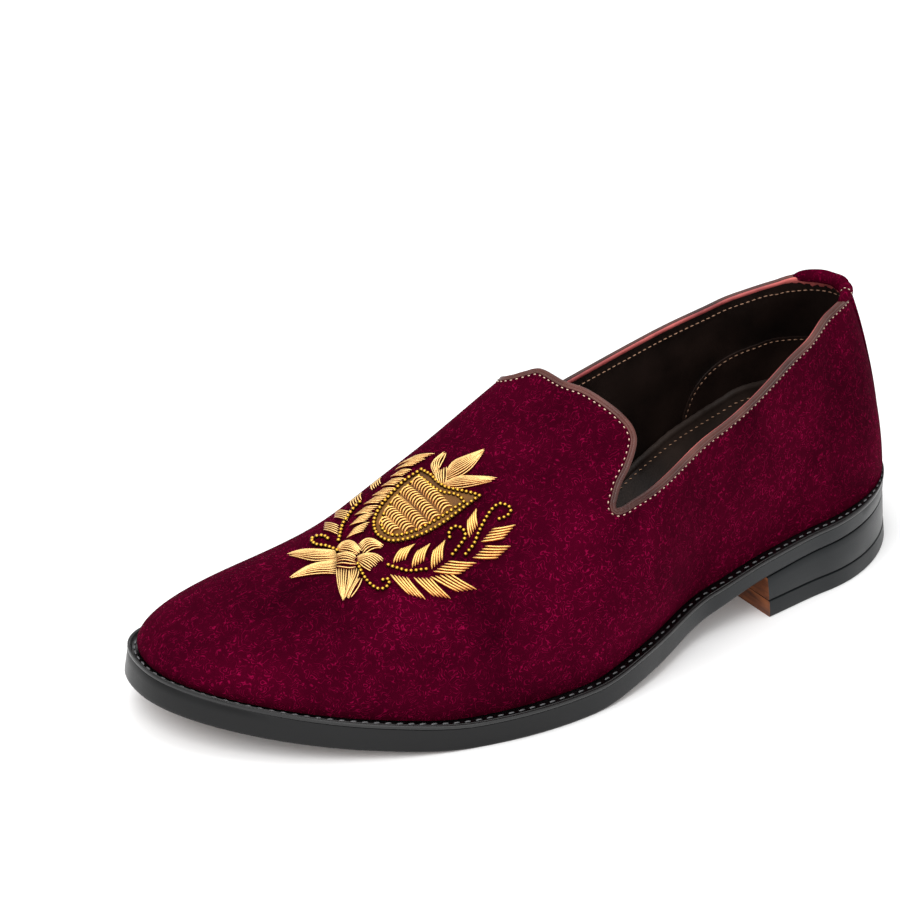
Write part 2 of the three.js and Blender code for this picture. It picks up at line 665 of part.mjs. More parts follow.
const LEAF = [
  { part: 0.0, fill: 0.4 },
  { part: 0.3, fill: 0.95 },
  { part: 0.65, fill: 0.9 },
  { part: 1.0, fill: 0.15 },
];
function leaf({ base, tip, width }) {
  const length = Math.hypot(tip[0] - base[0], tip[1] - base[1]);
  const rows = LEAF.map(({ part, fill }) => ({ along: part * length, half: (fill * width) / 2 }));
  return patch(base, tip, rows, CREST_RAISE);
}

function stem(points) {
  const half = 1.1;
  return points.slice(1).map((to, i) => {
    const from = points[i];
    const length = Math.hypot(to[0] - from[0], to[1] - from[1]);
    const rows = [-0.6, length / 2, length + 0.6].map((along) => ({ along, half }));
    return patch(from, to, rows, 0.8);
  });
}

// Pieces of gold work joined into one solid, with any closed pocket between them filled
function joined(pieces) {
  const whole = pieces.reduce((sum, piece) => sum.add(piece));
  return whole.decompose().filter((body) => body.volume() > 0).reduce((sum, body) => sum.add(body));
}

const SHIELD_ACROSS = [-1, -0.8, -0.4, 0, 0.4, 0.8, 1];
const crestShield = patch(SHIELD_AXIS.top, SHIELD_AXIS.tip, SHIELD, CREST_RAISE, SHIELD_ACROSS);
const crestPlume = joined(PLUME.map(leaf));
const crestKnot = joined(KNOT.map(leaf));
const crestOuter = joined([...stem(OUTER_STEM), ...OUTER_LEAVES.map(leaf)]);
const crestInner = joined([...stem(INNER_STEM), ...INNER_LEAVES.map(leaf)]);

// Materials of the pieces
function look(color, roughness, metalness = 0) {
  return new THREE.MeshStandardMaterial({ color, roughness, metalness });
}
const velvet = look(0x570a2b, 0.9);
const brownLeather = look(0x6a463f, 0.5);
const soleLeather = look(0x17130f, 0.4);
const insoleLeather = look(0x3a241c, 0.6);
const heelRubber = look(0x121110, 0.6);
const goldThread = look(0xd9a94a, 0.35, 0.8);

function mesh(name, body, material) {
  const { vertProperties, triVerts, numProp } = body.getMesh();
  const geometry = new THREE.BufferGeometry();
  const position = new Float32Array((vertProperties.length / numProp) * 3);
  for (let i = 0; i < position.length / 3; i += 1) {
    for (let k = 0; k < 3; k += 1) position[3 * i + k] = vertProperties[i * numProp + k];
  }
  geometry.setAttribute("position", new THREE.BufferAttribute(position, 3));
  geometry.setIndex(Array.from(triVerts));
  geometry.computeVertexNormals();
  const piece = new THREE.Mesh(geometry, material);
  piece.name = name;
  return piece;
}

const group = new THREE.Group();
group.add(
  mesh("outsole", outsole, soleLeather),
  mesh("welt", welt, soleLeather),
  mesh("heel_block", heelBlock, soleLeather),
  mesh("top_lift", topLift, heelRubber),
  mesh("insole", insole, insoleLeather),
  mesh("upper", upper, velvet),
  mesh("collar_binding", collarBinding, brownLeather),
  mesh("heel_tab", heelTab, velvet),
  mesh("back_strip", backStrip, velvet),
  mesh("crest_shield", crestShield, goldThread),
  mesh("crest_plume", crestPlume, goldThread),
  mesh("crest_knot", crestKnot, goldThread),
  mesh("crest_spray_outer", crestOuter, goldThread),
  mesh("crest_spray_inner", crestInner, goldThread),
);
group.position.set(AXIS.x, AXIS.y, 0);

export default group;
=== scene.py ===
import math

import bpy
import numpy as np
from mathutils import Matrix
from mathutils.bvhtree import BVHTree
from mathutils.kdtree import KDTree


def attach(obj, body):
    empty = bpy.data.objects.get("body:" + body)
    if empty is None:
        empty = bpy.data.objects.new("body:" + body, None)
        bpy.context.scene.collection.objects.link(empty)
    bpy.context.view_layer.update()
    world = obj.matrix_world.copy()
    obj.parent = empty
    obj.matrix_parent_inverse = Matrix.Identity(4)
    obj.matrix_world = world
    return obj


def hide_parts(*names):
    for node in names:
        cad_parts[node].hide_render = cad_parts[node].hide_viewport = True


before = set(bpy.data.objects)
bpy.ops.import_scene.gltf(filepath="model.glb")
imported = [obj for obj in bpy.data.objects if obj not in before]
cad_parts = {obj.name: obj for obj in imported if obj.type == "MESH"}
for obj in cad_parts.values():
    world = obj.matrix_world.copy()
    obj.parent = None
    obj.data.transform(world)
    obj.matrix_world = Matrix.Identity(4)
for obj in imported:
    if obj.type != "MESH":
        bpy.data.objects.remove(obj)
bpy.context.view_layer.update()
scene = bpy.context.scene

# Named sizes: the last's axis in the frame, clearances, the sole's layers and where the heel and toe turn
AXIS = np.array([-2.05, -2.75, 0.0])
GAP = 0.3
FEATHER_INSET = 5.6
HEEL_SPREAD = 4.1
LIP_RISE = 1.0
WELT_THICK = 2.2
HEEL_BREAST_X = -65.3
TOP_LIFT = 6.0
HEEL_POLE_X = -110.0
TOE_POLE_X = 107.0
TOE_SLOPE = -0.22
TREAD_FRONT_X = 65.0

# Plan outline of the sole, heel back first: x, y, direction along, direction inwards,
# handles before and after
OUTLINE = [
    (-144.4, 0.0, (0, 1), (1, 0), 17.6, 17.6),
    (-93.2, 37.1, (1, 0), (0, -1), 28.0, 12.0),
    (-41.0, 40.3, (1, 0), (0, -1), 22.4, 17.7),
    (28.5, 56.6, (1, 0), (0, -1), 38.7, 56.6),
    (149.6, -20.7, (0, -1), (-1, 0), 33.5, 37.5),
    (61.0, -51.1, (-1, 0), (0, 1), 50.4, 26.0),
    (-26.0, -33.0, (-1, 0), (0, 1), 28.0, 28.0),
    (-93.2, -37.1, (-1, 0), (0, 1), 12.0, 28.0),
]
HEEL_BACK, TOE_END = 0, 4

# How much closer than its inset the upper keeps to the sole's edge at the two ends
TUCK = {HEEL_BACK: 4.9, TOE_END: 2.0}

# Sole from the side: x, underside, height of the edge
SOLE_SIDE = [
    (-151.0, 19.4, 7.6), (-65.3, 14.8, 7.6), (-30.0, 6.9, 9.0), (0.0, 3.2, 10.1),
    (22.0, 0.0, 10.1), (65.0, 0.0, 9.9), (95.0, 3.4, 10.0), (151.0, 13.6, 10.2),
]

# Last: x, height of the ridge, squareness, swell of the side wall, sideways place of the ridge
LAST = [
    (-151.0, 130.0, 1.21, 1.3, 0.0), (-110.0, 130.0, 1.21, 1.3, 0.0), (-88.0, 148.8, 1.44, 1.0, -0.5),
    (-60.0, 148.0, 2.1, 1.95, -1.6), (-15.0, 106.7, 3.1, 5.0, -3.3), (10.0, 91.5, 2.6, 3.5, -8.2),
    (40.0, 70.8, 2.35, 1.85, -12.7), (75.0, 52.6, 2.31, 1.3, -13.6), (107.0, 44.3, 2.47, 0.9, -14.2),
]

# Collar edge from the side: x, z on the outer side, z on the inner side. Tongue's edge: share of the ridge
# height, x. Inner half of the tongue's edge in plan, from the ridge inwards: x, y
COLLAR = [
    (-165.0, 97.7, 97.9), (-128.0, 97.7, 97.9), (-114.0, 97.0, 97.6), (-105.0, 95.0, 96.1),
    (-95.0, 92.1, 92.6), (-82.0, 89.1, 88.5), (-67.0, 85.3, 84.3), (-52.0, 80.9, 80.4), (-35.0, 76.4, 76.2),
    (-20.0, 73.0, 73.0), (-8.0, 70.3, 70.4), (0.0, 68.3, 68.3), (4.4, 66.9, 66.9), (6.0, 66.8, 66.8),
]
TONGUE = [
    (0.675, 6.3), (0.703, 4.7), (0.730, 2.3), (0.754, -1.4), (0.789, -5.4), (0.815, -7.2), (0.851, -7.4),
    (0.898, -6.0), (0.944, -3.8), (0.978, -1.6), (0.994, 0.9), (1.0, 2.2),
]
TONGUE_INNER = [
    (2.2, -6.4), (5.4, -10.4), (7.6, -13.2), (8.5, -16.2), (7.8, -18.8), (5.7, -21.6), (2.4, -23.8),
    (-0.5, -25.0), (-2.4, -26.4),
]


def smooth_table(rows, column, end_slope=None):
    """Monotone curve through a table's column, held constant beyond its ends."""
    xs = np.array([row[0] for row in rows], float)
    ys = np.array([row[column] for row in rows], float)
    step = np.diff(xs)
    rise = np.diff(ys) / step
    slope = np.zeros(len(xs))
    slope[0] = rise[0]
    slope[-1] = rise[-1] if end_slope is None else end_slope
    for i in range(1, len(xs) - 1):
        if rise[i - 1] * rise[i] > 0:
            before = 2 * step[i] + step[i - 1]
            after = step[i] + 2 * step[i - 1]
            slope[i] = (before + after) / (before / rise[i - 1] + after / rise[i])

    def at(x):
        x = np.clip(np.asarray(x, float), xs[0], xs[-1])
        i = np.clip(np.searchsorted(xs, x, side="right") - 1, 0, len(xs) - 2)
        t = (x - xs[i]) / step[i]
        u = 1 - t
        from_left = (1 + 2 * t) * u * u * ys[i] + t * u * u * step[i] * slope[i]
        return from_left + t * t * (3 - 2 * t) * ys[i + 1] - t * t * u * step[i] * slope[i + 1]

    return at


under = smooth_table(SOLE_SIDE, 1)
edge_height = smooth_table(SOLE_SIDE, 2)
ridge = smooth_table(LAST, 1, TOE_SLOPE)
square = smooth_table(LAST, 2)
swell = smooth_table(LAST, 3)
spine = smooth_table(LAST, 4)
collar_outer = smooth_table(COLLAR, 1)
collar_inner = smooth_table(COLLAR, 2)
tongue_edge = smooth_table(TONGUE, 1)


def feather(x):
    return under(x) + edge_height(x) - LIP_RISE


def ledge(x):
    return feather(x) - GAP


def collar_height(x, y):
    """Height of the collar, a little lower on the outer side."""
    return collar_inner(x) + (collar_outer(x) - collar_inner(x)) * np.clip((y + 8) / 16, 0, 1)


def outline(inset, steps):
    """Outer and inner side of the plan outline, heel to toe, moved inwards."""
    t = np.linspace(0, 1, steps + 1)[:, None]
    way_in = np.clip(inset / FEATHER_INSET, 0, 1)
    tuck = lambda k: TUCK.get(k, 0.0) * way_in
    parts = []
    for i, (x0, y0, run0, in0, _, after) in enumerate(OUTLINE):
        j = (i + 1) % len(OUTLINE)
        x1, y1, run1, in1, before, _ = OUTLINE[j]
        shorter = 0.55 * inset if {i, j} & {HEEL_BACK, TOE_END} else 0.0
        longer = lambda k: HEEL_SPREAD * way_in if k == HEEL_BACK else -shorter
        a = np.array([x0, y0]) + (inset - tuck(i)) * np.array(in0)
        d = np.array([x1, y1]) + (inset - tuck(j)) * np.array(in1)
        b = a + (after + longer(i)) * np.array(run0)
        c = d - (before + longer(j)) * np.array(run1)
        parts.append((1 - t) ** 3 * a + 3 * (1 - t) ** 2 * t * b + 3 * (1 - t) * t * t * c + t ** 3 * d)
    outer = np.concatenate([part[min(i, 1):] for i, part in enumerate(parts[:4])])
    inner = np.concatenate([part[min(i, 1):] for i, part in enumerate(parts[4:])])[::-1]
    return outer, inner


def spaced(points, count):
    """Points at equal lengths along a polyline."""
    points = np.asarray(points, float)
    length = np.concatenate([[0], np.cumsum(np.linalg.norm(np.diff(points, axis=0), axis=1))])
    at = np.linspace(0, length[-1], count)
    return np.column_stack([np.interp(at, length, points[:, k]) for k in range(points.shape[1])])


def through(points, spacing, closed=False):
    """Smooth curve through points, sampled at about a spacing."""
    points = np.asarray(points, float)
    if closed:
        points = np.concatenate([points[-1:], points, points[:2]])
    else:
        points = np.concatenate([2 * points[:1] - points[1:2], points, 2 * points[-1:] - points[-2:-1]])
    dense = []
    for p0, p1, p2, p3 in zip(points, points[1:], points[2:], points[3:]):
        k0, k1, k2 = (max(np.linalg.norm(b - a), 1e-6) ** 0.5 for a, b in ((p0, p1), (p1, p2), (p2, p3)))
        m1 = (p1 - p0) / k0 - (p2 - p0) / (k0 + k1) + (p2 - p1) / k1
        m2 = (p2 - p1) / k1 - (p3 - p1) / (k1 + k2) + (p3 - p2) / k2
        t = np.linspace(0, 1, 24, endpoint=False)[:, None]
        a, b = m1 * k1, m2 * k1
        dense.append((2 * t ** 3 - 3 * t ** 2 + 1) * p1 + (t ** 3 - 2 * t ** 2 + t) * a
                     + (3 * t ** 2 - 2 * t ** 3) * p2 + (t ** 3 - t ** 2) * b)
    dense = np.concatenate(dense + [points[-2:-1]])
    length = np.linalg.norm(np.diff(dense, axis=0), axis=1).sum()
    return spaced(dense, max(int(round(length / spacing)), 2) + 1)


# Surface of the last

def skin_point(x, y, up):
    """Point of the last on the column above a point of the feather line, at a share of its height."""
    along = np.clip(x, HEEL_POLE_X, TOE_POLE_X)
    mid = spine(along)
    reach = np.maximum(np.hypot(x - along, y - mid), 1e-6)
    power = square(along)
    s = up ** (power / 2)
    share = np.sqrt(np.clip(1 - s * s, 0, 1)) ** (2 / power)
    share = share + swell(along) * 6.75 * up * (1 - up) ** 2 / reach
    px = along + (x - along) * share
    py = mid + (y - mid) * share
    base = feather(x)
    z = base + (ridge(along) - base) * up + np.where(x > TOE_POLE_X, TOE_SLOPE * (px - along) * up, 0)
    return np.stack(np.broadcast_arrays(px, py, z), axis=-1)


def vertex_normals(points, triangles):
    a, b, c = (points[triangles[:, k]] for k in range(3))
    face = np.cross(b - a, c - a)
    normals = np.zeros_like(points)
    for k in range(3):
        np.add.at(normals, triangles[:, k], face)
    return normals / np.maximum(np.linalg.norm(normals, axis=1, keepdims=True), 1e-12)


def merged(points, triangles):
    """Joins points that coincide and drops the triangles that collapse."""
    _, first, index = np.unique(np.round(points, 3), axis=0, return_index=True, return_inverse=True)
    triangles = index.reshape(-1)[triangles]
    whole = (triangles[:, 0] != triangles[:, 1]) & (triangles[:, 1] != triangles[:, 2])
    whole &= triangles[:, 0] != triangles[:, 2]
    used, triangles = np.unique(triangles[whole], return_inverse=True)
    return points[first][used], triangles.reshape(-1, 3)


UPPER_ROWS = 60


def last_grid():
    """Columns and rows of the whole last: column x, column y and share of height, with triangles."""
    outer, inner = outline(FEATHER_INSET, 400)
    middle = np.concatenate([
        np.arange(HEEL_POLE_X, -14, 1.6), np.arange(-14, 12, 0.6), np.linspace(12, TOE_POLE_X, 60)])
    shares = np.sin(np.linspace(0, 1, UPPER_ROWS + 1) * np.pi / 2)
    params, triangles = [], []
    for turn, side in enumerate((outer, inner)):
        y_at = lambda x: np.interp(x, side[:, 0], side[:, 1])
        heel = side[side[:, 0] < HEEL_POLE_X]
        toe = side[side[:, 0] > TOE_POLE_X]
        heel = spaced(np.vstack([heel, [HEEL_POLE_X, y_at(HEEL_POLE_X)]]), 30)
        toe = spaced(np.vstack([[TOE_POLE_X, y_at(TOE_POLE_X)], toe]), 40)
        columns = np.vstack([heel[:-1], np.column_stack([middle, y_at(middle)])[:-1], toe])
        start = sum(len(p) for p in params)
        count, rows = len(columns), len(shares)
        params.append(np.column_stack([np.repeat(columns, rows, axis=0), np.tile(shares, count)]))
        i, j = np.meshgrid(np.arange(count - 1), np.arange(rows - 1), indexing="ij")
        a = (start + i * rows + j).ravel()
        b, c, d = a + rows, a + rows + 1, a + 1
        faces = np.vstack([np.column_stack([a, d, c]), np.column_stack([a, c, b])])
        triangles.append(faces if turn == 0 else faces[:, ::-1])
    return np.vstack(params), np.vstack(triangles)


LAST_PARAMS, LAST_TRIANGLES = last_grid()


def last_points(params):
    return skin_point(params[:, 0], params[:, 1], params[:, 2])


class Skin:
    """The whole last as a surface to lay things on."""

    def __init__(self):
        self.points, self.triangles = merged(last_points(LAST_PARAMS), LAST_TRIANGLES)
        self.normals = vertex_normals(self.points, self.triangles)
        self.tree = BVHTree.FromPolygons(self.points.tolist(), self.triangles.tolist())

    def normal_at(self, spot, index):
        corners = self.triangles[index]
        a, b, c = self.points[corners]
        v0, v1, v2 = b - a, c - a, spot - a
        d00, d01, d11, d20, d21 = v0 @ v0, v0 @ v1, v1 @ v1, v2 @ v0, v2 @ v1
        whole = max(d00 * d11 - d01 * d01, 1e-12)
        v = (d11 * d20 - d01 * d21) / whole
        w = (d00 * d21 - d01 * d20) / whole
        normal = np.array([1 - v - w, v, w]) @ self.normals[corners]
        return normal / np.linalg.norm(normal)

    def near(self, targets):
        spots, normals = [], []
        for target in np.asarray(targets, float):
            hit, _, index, _ = self.tree.find_nearest(target.tolist())
            spots.append(np.array(hit))
            normals.append(self.normal_at(spots[-1], index))
        return np.array(spots), np.array(normals)

    def above(self, plan):
        spots, normals = [], []
        for x, y in np.asarray(plan, float)[:, :2]:
            hit, _, index, _ = self.tree.ray_cast((x, y, 250.0), (0, 0, -1))
            spots.append(np.array(hit))
            normals.append(self.normal_at(spots[-1], index))
        return np.array(spots), np.array(normals)


skin = Skin()


# Edge of the shoe as one path: outer heel, collar, notch, tongue, and back along the inner side

def edge_controls(side, tongue):
    rows = []
    y_at = lambda x: np.interp(x, side[:, 0], side[:, 1])
    for x, y in spaced(side[side[:, 0] < HEEL_POLE_X], 9)[:-1]:
        up = 0.85
        for _ in range(8):
            spot = skin_point(x, y, up)
            up = (collar_height(spot[0], spot[1]) - feather(x)) / (ridge(HEEL_POLE_X) - feather(x))
        rows.append(skin_point(x, y, up))
    for x in [row[0] for row in COLLAR if row[0] > -106][:-1]:
        z = collar_height(x, y_at(x))
        rows.append(skin_point(x, y_at(x), (z - feather(x)) / (ridge(x) - feather(x))))
    return np.array(rows + [skin_point(x, y_at(x), up) for up, x in tongue])


def edge_path(spacing):
    outer, inner = outline(FEATHER_INSET, 400)
    instep = skin.above(TONGUE_INNER)[0]
    far_side = edge_controls(inner, TONGUE[:4])[::-1]
    rows = np.concatenate([edge_controls(outer, TONGUE[:-1]), instep, far_side])
    return skin.near(through(rows, spacing))


edge, edge_normals = edge_path(0.5)
edge_run = np.gradient(edge, axis=0)
edge_run /= np.linalg.norm(edge_run, axis=1, keepdims=True)
edge_down = np.cross(edge_normals, edge_run)
edge_down /= np.linalg.norm(edge_down, axis=1, keepdims=True)
notch_at = [np.argmin(edge[:len(edge) // 2, 2]), len(edge) // 2 + np.argmin(edge[len(edge) // 2:, 2])]
edge_length = np.concatenate([[0], np.cumsum(np.linalg.norm(np.diff(edge, axis=0), axis=1))])
near_notch = np.exp(-np.min([np.abs(edge_length - edge_length[k]) for k in notch_at], axis=0) / 5.0)


def height_over_edge():
    """How far each point of the last lies above the shoe's edge, measured from the nearest part of it."""
    points = last_points(LAST_PARAMS)
    above = points[:, 2] - collar_height(points[:, 0], points[:, 1])
    field = np.minimum(above, tongue_edge(LAST_PARAMS[:, 2]) - points[:, 0])
    tree = KDTree(len(edge))
    for k, spot in enumerate(edge.tolist()):
        tree.insert(spot, k)
    tree.balance()
    for i, point in enumerate(points):
        _, k, apart = tree.find(point.tolist())
        if apart < 16.0:
            field[i] = (edge[k] - point) @ edge_down[k]
    return field


EDGE_FIELD = height_over_edge()


def below_edge(depth):
    """The last's surface below the shoe's edge, cut a depth under it."""
    field, params, extra, made = EDGE_FIELD + depth, LAST_PARAMS, [], {}

    def cut(a, b):
        key = (min(a, b), max(a, b))
        if key not in made:
            t = field[a] / (field[a] - field[b])
            made[key] = len(params) + len(extra)
            extra.append(params[a] + t * (params[b] - params[a]))
        return made[key]

    inside = field <= 0
    count = inside[LAST_TRIANGLES].sum(axis=1)
    kept = [tuple(t) for t in LAST_TRIANGLES[count == 3]]
    for triangle in LAST_TRIANGLES[(count == 1) | (count == 2)]:
        a, b, c = (int(v) for v in triangle)
        while not (inside[a] and not inside[c]):
            a, b, c = b, c, a
        if inside[b]:
            bc, ca = cut(b, c), cut(c, a)
            kept += [(a, b, bc), (a, bc, ca)]
        else:
            ab, ca = cut(a, b), cut(c, a)
            kept.append((a, ab, ca))
    return merged(last_points(np.vstack([params, extra])), np.array(kept))


# Materials

def colour(red, green, blue):
    """An sRGB colour as linear values."""
    def linear(v):
        v /= 255
        return v / 12.92 if v <= 0.04045 else ((v + 0.055) / 1.055) ** 2.4
    return (linear(red), linear(green), linear(blue), 1.0)


def add(tree, kind, values=None, **settings):
    made = tree.nodes.new(kind)
    for name, value in settings.items():
        setattr(made, name, value)
    for name, value in (values or {}).items():
        if hasattr(value, "is_output"):
            tree.links.new(value, made.inputs[name])
        else:
            made.inputs[name].default_value = value
    return made


def shader_group(name, inputs, outputs):
    tree = bpy.data.node_groups.new(name, "ShaderNodeTree")
    for label, kind, value in inputs:
        socket = tree.interface.new_socket(label, in_out="INPUT", socket_type=kind)
        if value is not None:
            socket.default_value = value
    for label, kind in outputs:
        tree.interface.new_socket(label, in_out="OUTPUT", socket_type=kind)
    return tree, tree.nodes.new("NodeGroupInput"), tree.nodes.new("NodeGroupOutput")


def ramp(tree, factor, stops):
    made = add(tree, "ShaderNodeValToRGB", {"Fac": factor})
    elements = made.color_ramp.elements
    while len(elements) < len(stops):
        elements.new(0.5)
    for element, (place, value) in zip(elements, stops):
        element.position = place
        element.color = value
    return made.outputs["Color"]


def math_node(tree, operation, first, second=None):
    made = add(tree, "ShaderNodeMath", operation=operation)
    for socket, value in zip(made.inputs, (first, second)):
        if value is None:
            continue
        if hasattr(value, "is_output"):
            tree.links.new(value, socket)
        else:
            socket.default_value = value
    return made.outputs[0]


def leather_grain_group():
    """Cells and pores of leather: height for a bump and a tone between 0 and 1."""
    tree, inside, out = shader_group(
        "leather grain",
        [("Vector", "NodeSocketVector", None), ("Cells per metre", "NodeSocketFloat", 1500.0),
         ("Creasing", "NodeSocketFloat", 0.5)],
        [("Height", "NodeSocketFloat"), ("Tone", "NodeSocketFloat")])
    place, cells, creasing = (inside.outputs[k] for k in range(3))
    warp = add(tree, "ShaderNodeTexNoise", {"Vector": place, "Scale": 260.0, "Detail": 2.0})
    bent = add(tree, "ShaderNodeVectorMath", {0: warp.outputs["Color"], 1: (0.0012,) * 3},
               operation="MULTIPLY")
    moved = add(tree, "ShaderNodeVectorMath", {0: place, 1: bent.outputs[0]}, operation="ADD")
    pebble = add(tree, "ShaderNodeTexVoronoi", {"Vector": moved.outputs[0], "Scale": cells},
                 feature="DISTANCE_TO_EDGE")
    raised = add(tree, "ShaderNodeMapRange", {"Value": pebble.outputs["Distance"], "From Max": 0.22})
    crease = add(tree, "ShaderNodeTexNoise", {"Vector": place, "Scale": 420.0, "Detail": 5.0,
                                              "Roughness": 0.62, "Distortion": 0.7})
    wave = math_node(tree, "MULTIPLY", crease.outputs["Fac"], creasing)
    height = math_node(tree, "ADD", math_node(tree, "MULTIPLY", raised.outputs[0], 0.5), wave)
    tree.links.new(height, out.inputs["Height"])
    cloud = add(tree, "ShaderNodeTexNoise", {"Vector": place, "Scale": 60.0, "Detail": 4.0})
    tree.links.new(cloud.outputs["Fac"], out.inputs["Tone"])
    return tree


def brushed_pile_group():
    """Pile of velvet: short squiggles of brushed pile, broad shading and single fibres."""
    tree, inside, out = shader_group(
        "brushed pile",
        [("Vector", "NodeSocketVector", None), ("Squiggles per metre", "NodeSocketFloat", 480.0)],
        [("Height", "NodeSocketFloat"), ("Squiggle", "NodeSocketFloat"), ("Shading", "NodeSocketFloat")])
    place, scale = inside.outputs[0], inside.outputs[1]
    swirl = add(tree, "ShaderNodeTexNoise", {"Vector": place, "Scale": scale, "Detail": 0.0,
                                             "Distortion": 0.5})
    fold = math_node(tree, "PINGPONG", swirl.outputs["Fac"], 0.11)
    line = add(tree, "ShaderNodeMapRange", {"Value": fold, "From Min": 0.0, "From Max": 0.05,
                                            "To Min": 1.0, "To Max": 0.0})
    gaps = add(tree, "ShaderNodeTexNoise", {"Vector": place, "Scale": 430.0, "Detail": 1.0})
    broken = add(tree, "ShaderNodeMapRange", {"Value": gaps.outputs["Fac"], "From Min": 0.38,
                                              "From Max": 0.54})
    squiggle = math_node(tree, "MULTIPLY", line.outputs[0], broken.outputs[0])
    fibre = add(tree, "ShaderNodeTexNoise", {"Vector": place, "Scale": 5200.0, "Detail": 2.0})
    height = math_node(tree, "ADD", squiggle, math_node(tree, "MULTIPLY", fibre.outputs["Fac"], 0.9))
    cloud = add(tree, "ShaderNodeTexNoise", {"Vector": place, "Scale": 26.0, "Detail": 3.0,
                                             "Roughness": 0.62, "Distortion": 0.5})
    tree.links.new(height, out.inputs["Height"])
    tree.links.new(squiggle, out.inputs["Squiggle"])
    tree.links.new(cloud.outputs["Fac"], out.inputs["Shading"])
    return tree


LEATHER_GRAIN = leather_grain_group()
BRUSHED_PILE = brushed_pile_group()


def new_material(name, **values):
    made = bpy.data.materials.new(name)
    made.use_nodes = True
    shader = made.node_tree.nodes["Principled BSDF"]
    for label, value in values.items():
        shader.inputs[label.replace("_", " ")].default_value = value
    return made, made.node_tree, shader


def place_of(tree):
    return add(tree, "ShaderNodeTexCoord").outputs["Object"]


def bump(tree, shader, height, strength, distance):
    made = add(tree, "ShaderNodeBump", {"Height": height, "Strength": strength, "Distance": distance})
    tree.links.new(made.outputs["Normal"], shader.inputs["Normal"])


def grain_node(tree, cells, creasing):
    grain = add(tree, "ShaderNodeGroup", {"Cells per metre": cells, "Creasing": creasing},
                node_tree=LEATHER_GRAIN)
    tree.links.new(place_of(tree), grain.inputs["Vector"])
    return grain


def uneven_gloss(tree, shader, tone, rough, spread):
    """Roughness that follows the leather's tone, a little to both sides of its mean."""
    made = add(tree, "ShaderNodeMapRange", {"Value": tone, "From Min": 0.3, "From Max": 0.7,
                                            "To Min": rough - spread, "To Max": rough + spread})
    tree.links.new(made.outputs[0], shader.inputs["Roughness"])


def velvet_material(name, deep, middle, bright, sheen):
    made, tree, shader = new_material(
        name, Roughness=0.9, Specular_IOR_Level=0.01, Sheen_Weight=sheen, Sheen_Roughness=0.35,
        Sheen_Tint=colour(190, 24, 84))
    pile = add(tree, "ShaderNodeGroup", node_tree=BRUSHED_PILE)
    tree.links.new(place_of(tree), pile.inputs["Vector"])
    tone = math_node(tree, "ADD", math_node(tree, "MULTIPLY", pile.outputs["Squiggle"], 0.46),
                     math_node(tree, "MULTIPLY", pile.outputs["Shading"], 0.6))
    shade = ramp(tree, tone, [(0.16, deep), (0.55, middle), (1.0, bright)])
    tree.links.new(shade, shader.inputs["Base Color"])
    bump(tree, shader, pile.outputs["Height"], 0.6, 0.0003)
    return made


def sole_edge_material(name, fore, heel, rough):
    """Inked edge: deep black at the forefoot, greyer towards the heel."""
    made, tree, shader = new_material(name, Specular_IOR_Level=0.28)
    grain = grain_node(tree, 3200.0, 0.25)
    along = add(tree, "ShaderNodeSeparateXYZ", {0: place_of(tree)}).outputs["X"]
    # Colour grows greyer towards the heel, by place along the shoe
    greyer_to_heel = add(tree, "ShaderNodeMapRange", {"Value": along, "From Min": 0.06, "From Max": -0.07},
                 interpolation_type="SMOOTHSTEP").outputs[0]
    cloud = math_node(tree, "MULTIPLY", math_node(tree, "SUBTRACT", grain.outputs["Tone"], 0.5), 0.35)
    tone = math_node(tree, "ADD", greyer_to_heel, cloud)
    tree.links.new(ramp(tree, tone, [(0.0, fore), (1.0, heel)]), shader.inputs["Base Color"])
    uneven_gloss(tree, shader, grain.outputs["Tone"], rough, 0.06)
    bump(tree, shader, grain.outputs["Height"], 0.4, 0.00003)
    return made


def breast_material(name, dark, light):
    """Stacked leather cut across: fine streaks that run with the layers."""
    made, tree, shader = new_material(name, Roughness=0.45)
    turned = add(tree, "ShaderNodeMapping", {"Vector": place_of(tree), "Rotation": (0.12, 0.0, 0.0),
                                             "Scale": (70.0, 70.0, 620.0)})
    streak = add(tree, "ShaderNodeTexNoise", {"Vector": turned.outputs[0], "Scale": 1.0, "Detail": 5.0,
                                              "Roughness": 0.6, "Distortion": 0.5})
    shade = ramp(tree, streak.outputs["Fac"], [(0.3, dark), (0.7, light)])
    tree.links.new(shade, shader.inputs["Base Color"])
    bump(tree, shader, streak.outputs["Fac"], 0.4, 0.0001)
    return made


def leather_material(name, dark, light, rough, cells=1500.0, creasing=0.5, depth=0.00012, **values):
    made, tree, shader = new_material(name, **values)
    grain = grain_node(tree, cells, creasing)
    shade = ramp(tree, grain.outputs["Tone"], [(0.32, dark), (0.7, light)])
    tree.links.new(shade, shader.inputs["Base Color"])
    uneven_gloss(tree, shader, grain.outputs["Tone"], rough, 0.07)
    bump(tree, shader, grain.outputs["Height"], 0.5, depth)
    return made


